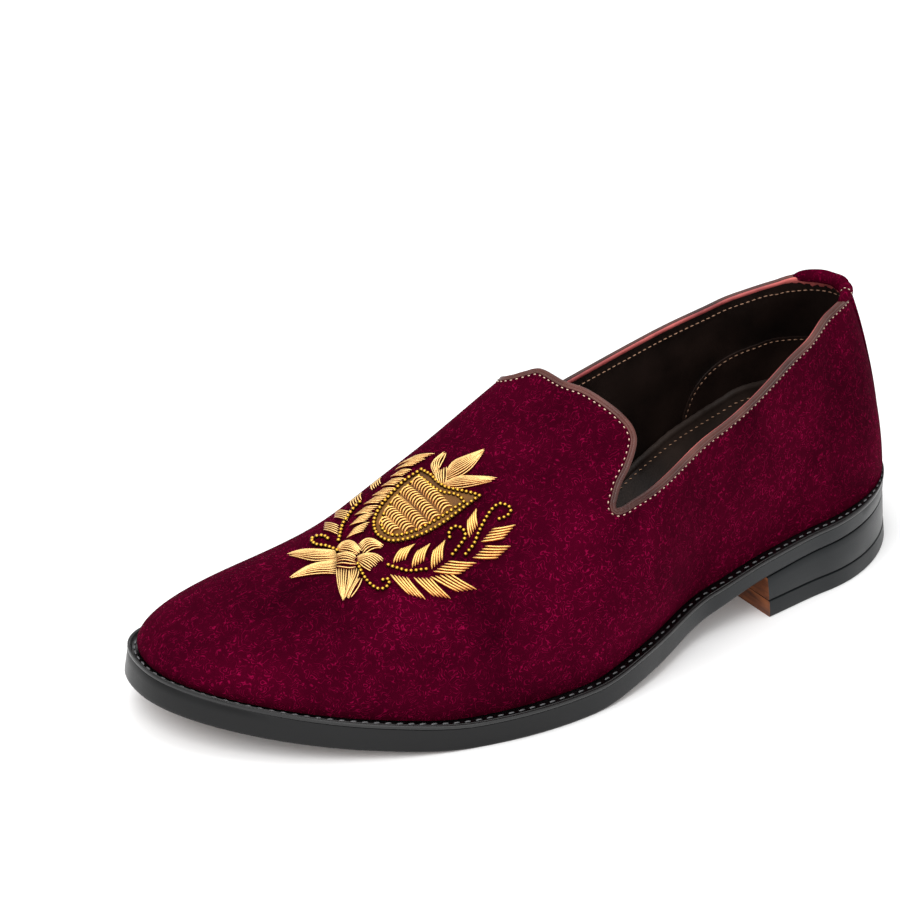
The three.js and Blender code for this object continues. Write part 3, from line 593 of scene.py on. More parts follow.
def thread_material(name, dark, light, metal, rough, twist, depth):
    """Twisted thread with painted light and shade: lighter where it faces up and darker on its flanks, as
    light from above falls, with painted shade across each twist and random tone; its twist follows its own
    length, kept in an attribute.
    """
    made, tree, shader = new_material(name, Metallic=metal, Roughness=rough)
    length = add(tree, "ShaderNodeAttribute", attribute_name="along").outputs["Fac"]
    turn = math_node(tree, "SINE", math_node(tree, "MULTIPLY", length, 2 * math.pi / twist))
    cloud = add(tree, "ShaderNodeTexNoise", {"Vector": place_of(tree), "Scale": 900.0, "Detail": 3.0})
    # Painted light from above: the colour brightens as the surface faces up and darkens on the flanks
    facing = add(tree, "ShaderNodeSeparateXYZ", {0: add(tree, "ShaderNodeNewGeometry").outputs["Normal"]})
    painted_light_from_above = add(tree, "ShaderNodeMapRange", {"Value": facing.outputs["Z"], "From Min": 0.05,
                                             "From Max": 0.95})
    grain = math_node(tree, "MULTIPLY", math_node(tree, "SUBTRACT", cloud.outputs["Fac"], 0.5), 0.7)
    # Painted shade across each twist of the thread, plus random tone from the noise
    twist_shade_and_grain = math_node(tree, "ADD", math_node(tree, "MULTIPLY", turn, 0.08), grain)
    tone = math_node(tree, "ADD", painted_light_from_above.outputs[0], twist_shade_and_grain)
    tree.links.new(ramp(tree, tone, [(0.2, dark), (0.85, light)]), shader.inputs["Base Color"])
    bump(tree, shader, turn, 0.6, depth)
    return made


VELVET = velvet_material("burgundy velvet", colour(38, 0, 12), colour(76, 1, 27), colour(150, 12, 64), 0.1)
BINDING = leather_material("brown binding leather", colour(50, 22, 19), colour(98, 56, 49),
                           0.36, 1300, 0.9, Specular_IOR_Level=0.3)
RAW_EDGE = leather_material("raw pink leather edge", colour(128, 46, 48), colour(222, 112, 106),
                            0.6, 1200, 1.0)
LINING = leather_material("dark lining leather", colour(14, 8, 6), colour(34, 21, 16), 0.42, 1500, 0.8)
GRIP = leather_material("heel grip leather", colour(24, 14, 11), colour(46, 30, 24), 0.46, 1500, 0.8)
SOCK = leather_material("sock leather", colour(28, 20, 17), colour(52, 40, 34),
                        0.62, 1100, 0.9, Specular_IOR_Level=0.25)
EDGE_INK = sole_edge_material("black sole edge", colour(5, 5, 6), colour(20, 23, 25), 0.36)
WELT = leather_material("black welt", colour(4, 4, 4), colour(10, 10, 11), 0.3, 2400, 0.5, 0.00006)
TREAD = leather_material("sole underside", colour(52, 33, 22), colour(88, 60, 40), 0.6, 1500, 0.6)
BREAST = breast_material("stacked heel breast", colour(74, 32, 12), colour(146, 82, 42))
LIFT = sole_edge_material("heel rubber", colour(8, 9, 10), colour(17, 20, 22), 0.45)
CREAM_THREAD = thread_material("cream thread", colour(96, 62, 48), colour(232, 200, 176),
                               0.0, 0.6, 0.0006, 0.0001)
TAN_THREAD = thread_material("tan thread", colour(64, 40, 30), colour(190, 146, 116),
                             0.0, 0.6, 0.0006, 0.0001)
BLACK_THREAD = thread_material("waxed black thread", colour(8, 8, 8), colour(96, 96, 98),
                               0.0, 0.22, 0.0006, 0.0001)
GOLD = thread_material("gold bullion", colour(150, 60, 8), colour(255, 206, 118),
                       0.6, 0.24, 0.00028, 0.00002)
PALE_GOLD = thread_material("pale gold bullion", colour(150, 70, 14), colour(255, 214, 138),
                            0.6, 0.26, 0.00028, 0.00002)
BEAD = thread_material("olive gold bead", colour(52, 30, 2), colour(236, 180, 66), 0.9, 0.14, 0.001, 0.00001)
# Felt pad under the shield: real padding, its dark colour painted shade between the loops
PAD_AND_PAINTED_SHADE = leather_material("olive felt pad with painted shade", colour(66, 36, 8), colour(128, 84, 28), 0.85, 1800, 1.0)


# Making of pieces

def finish_piece(piece, stands_for=()):
    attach(piece, "root")
    if stands_for:
        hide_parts(*stands_for)
    return piece


def closed_piece(name, points, faces, material, slot, stands_for=(), sharp=38):
    points = np.asarray(points, float)
    volume = 0.0
    for face in faces:
        a = points[face[0]]
        for p, q in zip(face[1:], face[2:]):
            volume += a @ np.cross(points[p], points[q])
    if volume < 0:
        faces = [tuple(face)[::-1] for face in faces]
    mesh = bpy.data.meshes.new(name)
    mesh.from_pydata(((points + AXIS) * 0.001).tolist(), [], [tuple(int(v) for v in face) for face in faces])
    mesh.update()
    mesh.shade_smooth()
    mesh.set_sharp_from_angle(angle=math.radians(sharp))
    mesh.materials.append(material)
    piece = bpy.data.objects.new(name, mesh)
    scene.collection.objects.link(piece)
    return finish_piece(piece, stands_for)


def loft(rings, hoop=False):
    count, rows = len(rings[0]), len(rings)
    faces = []
    for r in range(rows if hoop else rows - 1):
        a, b = r * count, ((r + 1) % rows) * count
        faces += [(a + i, b + i, b + (i + 1) % count, a + (i + 1) % count) for i in range(count)]
    return np.concatenate(rings), faces


def cap(points, faces, start, count, height, across, flip):
    """Closes a ring from its outer to its inner side with rows of faces."""
    lines, extra, total = [], [], len(points)
    for k in range(count // 2 + 1):
        a, b = start + k, start + (count - k) % count
        if a == b:
            lines.append([a])
            continue
        middle = points[a] + (points[b] - points[a]) * np.linspace(0, 1, across + 1)[1:-1, None]
        middle[:, 2] = height(middle)
        lines.append([a] + list(range(total, total + across - 1)) + [b])
        total += across - 1
        extra.append(middle)
    made = []
    for p, q in zip(lines, lines[1:]):
        for m in range(across):
            if len(p) == 1:
                made.append((p[0], q[m], q[m + 1]))
            elif len(q) == 1:
                made.append((p[m], q[0], p[m + 1]))
            else:
                made.append((p[m], q[m], q[m + 1], p[m + 1]))
    faces += [face[::-1] for face in made] if flip else made
    return np.concatenate([points] + extra), faces


def ring(inset, height, steps=34):
    outer, inner = outline(inset, steps)
    x, y = np.concatenate([outer, inner[-2:0:-1]]).T
    z = height(x) + np.zeros(len(x))
    slope = np.where(x > TREAD_FRONT_X, under(x + 0.5) - under(x - 0.5), 0)
    return np.column_stack([x + slope * (ledge(x) - z), y, z])


def heel_ring(inset, height, count=46):
    sides = []
    for side in outline(inset, 300):
        end = [HEEL_BREAST_X, np.interp(HEEL_BREAST_X, side[:, 0], side[:, 1])]
        sides.append(spaced(np.vstack([side[side[:, 0] < HEEL_BREAST_X], end]), count))
    plan = np.concatenate([sides[0], sides[1][:0:-1]])
    return np.column_stack([plan, height(plan[:, 0]) + np.zeros(len(plan))])


def level(height):
    return lambda points: height(points[:, 0])


def plate(rings, bottom, top, across=10):
    points, faces = loft(rings)
    count = len(rings[0])
    points, faces = cap(points, faces, 0, count, bottom, across, False)
    return cap(points, faces, (len(rings) - 1) * count, count, top, across, True)


def shell(points, triangles, outside, inside):
    """A wall between two offsets of an open surface."""
    normals = vertex_normals(points, triangles)
    count = len(points)
    directed = {(int(t[k]), int(t[(k + 1) % 3])) for t in triangles for k in range(3)}
    rim = [(a, b) for a, b in directed if (b, a) not in directed]
    faces = [tuple(t) for t in triangles] + [tuple(t[::-1] + count) for t in triangles]
    faces += [(b, a, a + count, b + count) for a, b in rim]
    return np.concatenate([points + normals * outside, points + normals * inside]), faces


# Rows that Geometry Nodes lay along paths

def path_tree(name, sizes):
    tree = bpy.data.node_groups.new(name, "GeometryNodeTree")
    tree.interface.new_socket("Paths", in_out="INPUT", socket_type="NodeSocketGeometry")
    for label in sizes:
        tree.interface.new_socket(label, in_out="INPUT", socket_type="NodeSocketFloat")
    tree.interface.new_socket("Material", in_out="INPUT", socket_type="NodeSocketMaterial")
    tree.interface.new_socket("Pieces", in_out="OUTPUT", socket_type="NodeSocketGeometry")
    inside, out = tree.nodes.new("NodeGroupInput"), tree.nodes.new("NodeGroupOutput")
    curve = add(tree, "GeometryNodeMeshToCurve", {"Mesh": inside.outputs["Paths"]})
    return tree, inside, out, curve.outputs[0]


def end_tree(tree, inside, out, geometry):
    smooth = add(tree, "GeometryNodeSetShadeSmooth", {"Geometry": geometry})
    solid = add(tree, "GeometryNodeRealizeInstances", {"Geometry": smooth.outputs[0]})
    dressed = add(tree, "GeometryNodeSetMaterial",
                  {"Geometry": solid.outputs[0], "Material": inside.outputs["Material"]})
    tree.links.new(dressed.outputs[0], out.inputs["Pieces"])
    return tree


def row_tree():
    """Rounded grains at a pitch along paths, each turned to its path and to the surface."""
    tree, inside, out, curve = path_tree("row of grains", ["Pitch", "Length", "Width", "Height"])
    even = add(tree, "GeometryNodeResampleCurve", {"Curve": curve, "Length": inside.outputs["Pitch"]},
               mode="LENGTH")
    grain = add(tree, "GeometryNodeMeshUVSphere", {"Segments": 8, "Rings": 5, "Radius": 0.5})
    size = add(tree, "ShaderNodeCombineXYZ", {
        "X": inside.outputs["Length"], "Y": inside.outputs["Width"], "Z": inside.outputs["Height"]})
    outward = add(tree, "GeometryNodeInputNamedAttribute", {"Name": "outward"}, data_type="FLOAT_VECTOR")
    run = add(tree, "GeometryNodeInputTangent")
    turn = add(tree, "FunctionNodeAxesToRotation", {
        "Primary Axis": outward.outputs[0], "Secondary Axis": run.outputs[0]},
        primary_axis="Z", secondary_axis="X")
    laid = add(tree, "GeometryNodeInstanceOnPoints", {
        "Points": even.outputs[0], "Instance": grain.outputs[0], "Rotation": turn.outputs[0],
        "Scale": size.outputs[0]})
    return end_tree(tree, inside, out, laid.outputs[0])


def strand_tree():
    """Round strands along paths, as thick as their points say, with their length kept for the twist."""
    tree, inside, out, curve = path_tree("bullion strands", ["Thickness"])
    thick = add(tree, "GeometryNodeInputNamedAttribute", {"Name": "fullness"}, data_type="FLOAT")
    radius = add(tree, "ShaderNodeMath", {0: thick.outputs[0], 1: inside.outputs["Thickness"]},
                 operation="MULTIPLY")
    length = add(tree, "GeometryNodeSplineParameter")
    kept = add(tree, "GeometryNodeStoreNamedAttribute", {
        "Geometry": curve, "Name": "along", "Value": length.outputs["Length"]}, data_type="FLOAT")
    profile = add(tree, "GeometryNodeCurvePrimitiveCircle", {"Resolution": 8, "Radius": 0.5})
    tube = add(tree, "GeometryNodeCurveToMesh", {
        "Curve": kept.outputs[0], "Profile Curve": profile.outputs[0], "Scale": radius.outputs[0],
        "Fill Caps": True})
    return end_tree(tree, inside, out, tube.outputs[0])


ROW_TREE = row_tree()
STRAND_TREE = strand_tree()


def laid_piece(name, tree, paths, sizes, material, stands_for=()):
    """Lays a tree's shapes along paths of (points, normals, fullness) and keeps the plain mesh."""
    points, outward, fullness, edges = [], [], [], []
    for spots, normals, fill in paths:
        start = len(points)
        points += ((spots + AXIS) * 0.001).tolist()
        outward += normals.tolist()
        fullness += np.broadcast_to(fill, len(spots)).tolist()
        edges += [(start + i, start + i + 1) for i in range(len(spots) - 1)]
    mesh = bpy.data.meshes.new(name)
    mesh.from_pydata(points, edges, [])
    mesh.attributes.new("outward", "FLOAT_VECTOR", "POINT").data.foreach_set("vector", np.ravel(outward))
    mesh.attributes.new("fullness", "FLOAT", "POINT").data.foreach_set("value", np.ravel(fullness))
    piece = bpy.data.objects.new(name, mesh)
    scene.collection.objects.link(piece)
    layer = piece.modifiers.new("lay", "NODES")
    layer.node_group = tree
    for item in tree.interface.items_tree:
        if item.in_out == "INPUT" and item.name in sizes:
            layer[item.identifier] = sizes[item.name] * 0.001
        if item.in_out == "INPUT" and item.name == "Material":
            layer[item.identifier] = material
    laid = bpy.data.meshes.new_from_object(piece.evaluated_get(bpy.context.evaluated_depsgraph_get()))
    piece.modifiers.remove(layer)
    piece.data = laid
    laid.name = name
    bpy.data.meshes.remove(mesh)
    return finish_piece(piece, stands_for)


# Stitches and beads, sizes in millimetres
BINDING_STITCH = {"Pitch": 2.2, "Length": 1.05, "Width": 0.55, "Height": 0.5}
LINING_STITCH = {"Pitch": 2.2, "Length": 1.7, "Width": 0.55, "Height": 0.5}
TAB_STITCH = {"Pitch": 1.5, "Length": 1.0, "Width": 0.45, "Height": 0.4}
SOCK_STITCH = {"Pitch": 2.5, "Length": 1.5, "Width": 0.5, "Height": 0.45}
GRIP_STITCH = {"Pitch": 2.3, "Length": 1.6, "Width": 0.5, "Height": 0.45}
WELT_STITCH = {"Pitch": 3.8, "Length": 2.5, "Width": 0.9, "Height": 0.8}
BEAD_SIZES = {"Pitch": 1.62, "Length": 1.56, "Width": 1.56, "Height": 1.5}
BULLION = {"Thickness": 0.8}
FINE_BULLION = {"Thickness": 0.56}

# Depth of the lining's inner face below the skin
LINED = 1.5

# Upper: velvet outside, leather lining inside, both stopping under the binding
closed_piece("velvet_upper", *shell(*below_edge(1.1), 0.0, -0.95), VELVET, "velvet", ("upper",), 50)
closed_piece("lining", *shell(*below_edge(0.7), -0.96, -LINED), LINING, "insole_leather", ("upper",), 50)


# Binding along the edge, with the raw edge of its turned-in leather inside

def along_edge(down, out, keep):
    """Points a distance below the edge and off the skin, with the skin's normals."""
    spots, normals = skin.near(edge[keep] + edge_down[keep] * np.reshape(down, (-1, 1)))
    return spots + normals * np.reshape(out, (-1, 1)), normals


def edge_band(name, profile, keep, gather, widen, material, slot, stands_for=()):
    """A closed section of (distance below the edge, height off the skin) carried along the edge."""
    rings = []
    for k, (down, out) in enumerate(profile):
        fold = gather * near_notch[keep] ** 1.4 * np.sin(edge_length[keep] * 4.4 + 0.55 * k)
        lower = down + widen[keep] * (down > 1)
        rings.append(along_edge(lower, out + fold * (out > 0), keep)[0])
    rings = np.array(rings).transpose(1, 0, 2)
    points, faces = loft(list(rings))
    count = len(profile)
    faces.append(tuple(range(count)))
    faces.append(tuple(range((len(rings) - 1) * count, len(rings) * count))[::-1])
    return closed_piece(name, points, faces, material, slot, stands_for, 60)


BINDING_SECTION = [
    (2.1, 0.03), (2.2, 0.24), (2.05, 0.44), (1.75, 0.5), (1.48, 0.4), (1.34, 0.3), (1.15, 0.42),
    (0.75, 0.54), (0.32, 0.44), (0.03, 0.14), (-0.06, -0.2), (0.03, -0.4), (-0.04, -0.6), (0.02, -0.9),
    (0.2, -1.12), (0.6, -1.16), (0.7, -0.9), (1.8, -0.3),
]
RAW_SECTION = [(0.2, -1.05), (0.22, -1.4), (0.5, -1.72), (1.35, -1.8), (1.5, -1.6), (1.5, -1.2)]
NOTCH_GATHER = 0.2
BINDING_END_X, BINDING_END_Y = -108.0, 10.4
BINDING_SEAM, LINING_SEAM, LINING_SEAM_UNDER_TAB = 2.75, 4.9, 2.0


def heel_share(half_width, fade, front, fade_x):
    """1 on the edge at the heel's back, fading out towards its two sides."""
    sideways = np.clip((half_width - np.abs(edge[:, 1])) / fade, 0, 1)
    return sideways * np.clip((front - edge[:, 0]) / fade_x, 0, 1)


# The raw edge hangs lower under the tab, in scallops; the lining's seam passes below it
whole_edge = np.arange(len(edge))
beside_tab = np.where((edge[:, 0] > BINDING_END_X) | (np.abs(edge[:, 1]) > BINDING_END_Y))[0]
even = np.zeros(len(edge))
scallop = 3.0 + 0.5 * np.sin(edge_length * 1.9) + 0.25 * np.sin(edge_length * 4.3)
scallop = heel_share(14.0, 5, -105, 4) * scallop
edge_band("collar_binding_leather", BINDING_SECTION, beside_tab, NOTCH_GATHER, even, BINDING,
          "binding_leather", ("collar_binding",))
edge_band("raw_edge_inside", RAW_SECTION, whole_edge, 0.0, scallop, RAW_EDGE, "binding_leather")
spots, normals = along_edge(BINDING_SEAM + even[beside_tab], 0.1, beside_tab)
laid_piece("binding_stitches", ROW_TREE, [(spots, normals, 1.0)],
           BINDING_STITCH, CREAM_THREAD)
lining_seam = LINING_SEAM + LINING_SEAM_UNDER_TAB * heel_share(18.0, 6, -102, 6)
spots, normals = along_edge(lining_seam, -LINED - 0.1, whole_edge)
laid_piece("lining_stitches", ROW_TREE, [(spots, -normals, 1.0)],
           LINING_STITCH, TAN_THREAD)


# Heel tab: a lumpy velvet roll over the collar, caught with a few stitches at its outer end
TAB_HALF_WIDTH, TAB_HALF_THICK, TAB_HALF_HEIGHT, TAB_LEVEL = 12.2, 2.4, 2.6, 97.0
TACK_PLACE = 0.74
heel_line = np.array([row for row in edge if row[0] < HEEL_POLE_X])
heel_line = heel_line[np.argsort(heel_line[:, 1])]


def tab_points(a, turn, proud=0.0):
    """Section of the roll at a share of its half width, with a dent where its seam lies."""
    x_at = lambda y: np.interp(y, heel_line[:, 1], heel_line[:, 0]) + 0.8
    y = a * TAB_HALF_WIDTH
    slope = x_at(y + 0.5) - x_at(y - 0.5)
    run = np.array([slope, 1.0]) / math.hypot(slope, 1.0)
    seam = math.exp(-((a - 0.3) / 0.05) ** 2)
    fill = max((1 - a ** 6) ** 0.5, 0.3)
    fill *= 1 + 0.06 * math.sin(5.3 * a + 0.6) + 0.035 * math.sin(12 * a + 1.0) - 0.2 * seam
    lump = 1 + 0.05 * np.sin(3 * turn + 4 * a)
    out = (TAB_HALF_THICK * fill * lump + proud) * np.cos(turn)
    up = (TAB_HALF_HEIGHT * fill * lump + proud) * np.sin(turn)
    return np.column_stack([x_at(y) - run[1] * out, y + run[0] * out, TAB_LEVEL + up])


def tab_roll():
    turn = np.linspace(0, 2 * np.pi, 24, endpoint=False)
    points, faces = loft([tab_points(a, turn) for a in np.sin(np.linspace(-1, 1, 65) * np.pi / 2)])
    faces.append(tuple(range(24)))
    faces.append(tuple(range(len(points) - 24, len(points)))[::-1])
    return points, faces


closed_piece("heel_tab_velvet", *tab_roll(), VELVET, "velvet", ("heel_tab",), 60)
tack_turn = np.linspace(0.25, 2.6, 12)
tack = tab_points(TACK_PLACE, tack_turn, 0.05)
laid_piece("tab_stitches", ROW_TREE, [(tack, tab_points(TACK_PLACE, tack_turn, 1.05) - tack, 1.0)],
           TAB_STITCH, CREAM_THREAD)


# Back strip: a velvet band down the heel with turned edges
STRIP_SECTION = [
    (-9.0, 0.05), (-9.0, 0.45), (-8.7, 0.72), (-7.8, 0.88), (-4.0, 0.95), (0.0, 1.0), (4.0, 0.95),
    (7.8, 0.88), (8.7, 0.72), (9.0, 0.45), (9.0, 0.05), (4.0, 0.05), (0.0, 0.05), (-4.0, 0.05),
]


def back_strip():
    rings = []
    for z in np.linspace(feather(-145.0) + 1.5, 95.2, 50):
        line = []
        for y, out in STRIP_SECTION:
            x = -150.0
            for _ in range(5):
                spot, normal = skin.near([(x, y, z)])
                x = spot[0][0]
            line.append(spot[0] + normal[0] * out)
        rings.append(np.array(line))
    points, faces = loft(rings)
    count = len(STRIP_SECTION)
    faces.append(tuple(range(count)))
    faces.append(tuple(range(len(points) - count, len(points)))[::-1])
    return points, faces


closed_piece("back_strip_velvet", *back_strip(), VELVET, "velvet", ("back_strip",), 50)


# Sole: outsole with its upright edge, welt lip, heel block and top lift, with grooves where they meet
def outsole_top(x):
    return ledge(x) - WELT_THICK - GAP


outsole_rings = [ring(inset, height) for inset, height in (
    (1.2, under), (0.75, lambda x: under(x) + 0.12), (0.5, lambda x: under(x) + 0.45),
    (0.4, lambda x: under(x) + 1.2), (0.4, lambda x: outsole_top(x) - 0.8), (0.4, lambda x: ledge(x) - 0.5),
    (0.6, lambda x: ledge(x) - 0.3), (2.2, lambda x: ledge(x) - 0.3), (2.2, outsole_top))]
outsole = closed_piece("outsole_leather", *plate(outsole_rings, level(under), level(outsole_top)), EDGE_INK,
                       "sole_leather", ("outsole",))
welt_rings = [ring(inset, height) for inset, height in (
    (11.0, lambda x: outsole_top(x) + GAP), (2.5, lambda x: outsole_top(x) + GAP),
    (2.5, lambda x: ledge(x) - 0.2), (0.7, lambda x: ledge(x) - 0.2), (0.2, lambda x: ledge(x) - 0.08),
    (0.02, lambda x: ledge(x) + 0.3), (0.0, lambda x: ledge(x) + 0.95), (0.2, lambda x: ledge(x) + 1.24),
    (0.5, lambda x: ledge(x) + 1.3), (0.75, lambda x: ledge(x) + 1.18), (1.0, lambda x: ledge(x) + 1.3),
    (1.35, lambda x: ledge(x) + 1.16), (1.7, lambda x: ledge(x) + 0.4), (2.4, ledge), (11.0, ledge))]
closed_piece("welt_leather", *loft(welt_rings, hoop=True), WELT, "welt_leather", ("welt",))

heel_rings = [heel_ring(inset, height) for inset, height in (
    (0.7, lambda x: TOP_LIFT + 0.3), (-0.75, lambda x: TOP_LIFT + 0.3), (-1.15, lambda x: TOP_LIFT + 0.42),
    (-1.26, lambda x: TOP_LIFT + 0.8), (-0.3, lambda x: under(x) - 2.8), (0.3, lambda x: under(x) - 0.7),
    (0.5, lambda x: under(x) - 0.42), (0.9, lambda x: under(x) - GAP), (2.2, lambda x: under(x) - GAP))]
heel = closed_piece("heel_block_leather", *plate(
    heel_rings, level(lambda x: TOP_LIFT + 0.3 + 0 * x), level(lambda x: under(x) - GAP)), EDGE_INK,
    "sole_leather", ("heel_block",))
lift_rings = [heel_ring(inset, height) for inset, height in (
    (-1.7, lambda x: 0 * x), (-2.15, lambda x: 0.18), (-2.3, lambda x: 0.6),
    (-1.6, lambda x: TOP_LIFT - 0.7), (-1.5, lambda x: TOP_LIFT - 0.25), (-1.1, lambda x: TOP_LIFT - 0.05),
    (0.7, lambda x: TOP_LIFT))]
lift = closed_piece("top_lift_rubber", *plate(
    lift_rings, level(lambda x: 0 * x), level(lambda x: TOP_LIFT + 0 * x)), LIFT,
    "heel_rubber", ("top_lift",))

# Cut leather on the heel's breast, bare leather underneath
for block, material, facing in (
        (heel, BREAST, (1, 0, 0)), (lift, BREAST, (1, 0, 0)), (outsole, TREAD, (0, 0, -1))):
    block.data.materials.append(material)
    for face in block.data.polygons:
        if np.dot(face.normal, facing) > 0.8:
            face.material_index = 1


# Insole: a sock over the board that climbs the wall round the heel, with a rolled border
SOCK_CLIMB = smooth_table([
    (-145.0, 24.1), (-107.5, 24.1), (-101.7, 23.0), (-96.4, 20.4), (-85.2, 17.0), (-73.6, 14.1),
    (-65.0, 11.1), (-58.0, 9.0), (-45.0, 5.0), (-30.0, 2.0), (-10.0, 0.8), (160.0, 0.8)], 1)
SOCK_SOFTNESS = 13.0
SOCK_BORDER_INSET = 8.4


def sock_flat(x):
    return ledge(x) + 3.0


def up_wall(part, rise, off):
    """Ring against the inside of the upper, at a part of the sock's climb, a distance inside the skin."""
    plan = ring(SOCK_BORDER_INSET, lambda x: sock_flat(x) + SOCK_CLIMB(x) * part + rise)
    spots, normals = skin.near(plan)
    return spots - normals * off, normals


crimp = ring(SOCK_BORDER_INSET, sock_flat)
crimp = 0.14 * np.sin(1.7 * crimp[:, 0] + 0.9 * crimp[:, 1]) * (crimp[:, 0] < -40)
roll_rings = []
for rise, off in ((-0.2, 2.1), (0.8, 2.2), (1.25, 2.8), (1.05, 3.7), (0.3, 4.3), (-0.6, 4.4), (-1.0, 4.4)):
    line, sock_normals = up_wall(1.0, rise, off)
    roll_rings.append(line + np.column_stack([0 * crimp, 0 * crimp, crimp * (rise > -0.1)]))
seam_line = roll_rings[-1]


def sock_height(points):
    """Flat under the foot, softly cupped towards the border."""
    apart = np.linalg.norm(points[:, None, :2] - seam_line[None, :, :2], axis=2)
    nearest = apart.argmin(axis=1)
    climb = seam_line[nearest, 2] - sock_flat(seam_line[nearest, 0])
    return sock_flat(points[:, 0]) + climb * np.clip(1 - apart.min(axis=1) / SOCK_SOFTNESS, 0, 1) ** 2


insole_rings = [ring(11.3, lambda x: outsole_top(x) + GAP), ring(11.3, lambda x: ledge(x) + GAP),
                ring(8.6, lambda x: ledge(x) + GAP), ring(8.6, lambda x: sock_flat(x) - 0.8),
                up_wall(0.5, 0.0, 2.1)[0]] + roll_rings
sock_under = level(lambda x: outsole_top(x) + GAP)
closed_piece("insole_sock", *plate(insole_rings, sock_under, sock_height, 26), SOCK, "insole_leather",
             ("insole",))
sock_seam = seam_line - sock_normals * 0.8 * np.array([1, 1, 0])
sock_seam[:, 2] = sock_height(sock_seam) + 0.15
sock_seam = np.concatenate([sock_seam, sock_seam[:1]])
laid_piece("sock_stitches", ROW_TREE, [(sock_seam, np.tile([0.0, 0, 1], (len(sock_seam), 1)), 1.0)],
           SOCK_STITCH, TAN_THREAD)

# Heel grip: a leather panel round the inside of the heel, sewn along its arched upper edge
GRIP_ARCH = [
    (-80.6, 43.5), (-83.2, 52.0), (-88.2, 59.1), (-98.6, 66.1), (-111.2, 69.7), (-120.3, 69.9),
    (-127.4, 69.6),
]


def on_side(x, z, hand):
    y = 30.0 * hand
    for _ in range(5):
        spot = skin.near([(x, y, z)])[0][0]
        y = spot[1]
    return spot


arch = [on_side(x, z, 1) for x, z in GRIP_ARCH] + [skin.near([(-150.0, 0.0, 69.4)])[0][0]]
arch, arch_normals = skin.near(through(arch + [on_side(x, z, -1) for x, z in GRIP_ARCH[::-1]], 1.0))


def heel_grip():
    rows = 14
    foot = sock_flat(arch[:, 0]) + SOCK_CLIMB(arch[:, 0]) - 1.0
    grid = []
    for k in range(rows + 1):
        drop = arch.copy()
        drop[:, 2] += (foot - arch[:, 2]) * k / rows
        grid.append(skin.near(drop)[0])
    count = len(arch)
    i, j = np.meshgrid(np.arange(count - 1), np.arange(rows), indexing="ij")
    a = (j * count + i).ravel()
    b, c, d = a + count, a + count + 1, a + 1
    triangles = np.vstack([np.column_stack([a, b, c]), np.column_stack([a, c, d])])
    points = np.concatenate(grid)
    if np.sum(vertex_normals(points, triangles)[:count] * arch_normals) < 0:
        triangles = triangles[:, ::-1]
    return shell(points, triangles, -LINED + 0.05, -LINED - 0.42)


closed_piece("heel_grip_leather", *heel_grip(), GRIP, "insole_leather", (), 50)
sewn, sewn_normals = skin.near(arch + np.cross(np.gradient(arch, axis=0), arch_normals) * 1.3)
laid_piece("heel_grip_stitches", ROW_TREE, [(sewn - sewn_normals * (LINED + 0.5), -sewn_normals, 1.0)],
           GRIP_STITCH, TAN_THREAD)

# Welt seam: a row of waxed stitches in the channel behind the lip
welt_seam = ring(3.5, lambda x: ledge(x) + 0.15, 60)
welt_seam = np.concatenate([welt_seam, welt_seam[:1]])
laid_piece("welt_stitches", ROW_TREE, [(welt_seam, np.tile([0.0, 0, 1], (len(welt_seam), 1)), 1.0)],
           WELT_STITCH, BLACK_THREAD)


# Crest: gold strands and beads laid on the vamp
def on_vamp(plan, lift):
    spots, normals = skin.above(plan)
    return spots + normals * np.reshape(lift, (-1, 1)), normals


def strand(start, end, bow, raise_by, fill=1.0, low=0.5, count=9):
    """One raised strand, bowed sideways and rounded off at its ends."""
    t = np.linspace(0, 1, count)
    start, end = np.array(start), np.array(end)
    side = np.array([start[1] - end[1], end[0] - start[0]])
    plan = start + (end - start) * t[:, None] + side * (bow * 4 * t * (1 - t))[:, None]
    spots, normals = on_vamp(plan, low + raise_by * np.sin(np.pi * t) ** 0.8)
    ends = np.clip(np.minimum(t, 1 - t) * 9, 0, 1) ** 0.5
    return spots, normals, fill * (0.35 + 0.65 * ends)


def leaf(base, tip, width, hand=1, count=6, bow=0.05, raise_by=0.7):
    """Even strands side by side that together make a leaf, from one at its base to one at its tip."""
    base, tip = np.array(base, float), np.array(tip, float)
    run = tip - base
    slant = hand * math.asin(min(0.6, 0.66 * width / np.linalg.norm(run)))
    turn = np.array([[math.cos(slant), -math.sin(slant)], [math.sin(slant), math.cos(slant)]])
    reach = 0.66 * turn @ run
    starts = [base + (run - reach) * k / (count - 1) for k in range(count)]
    return [strand(start, start + reach, bow * hand, raise_by) for start in starts]


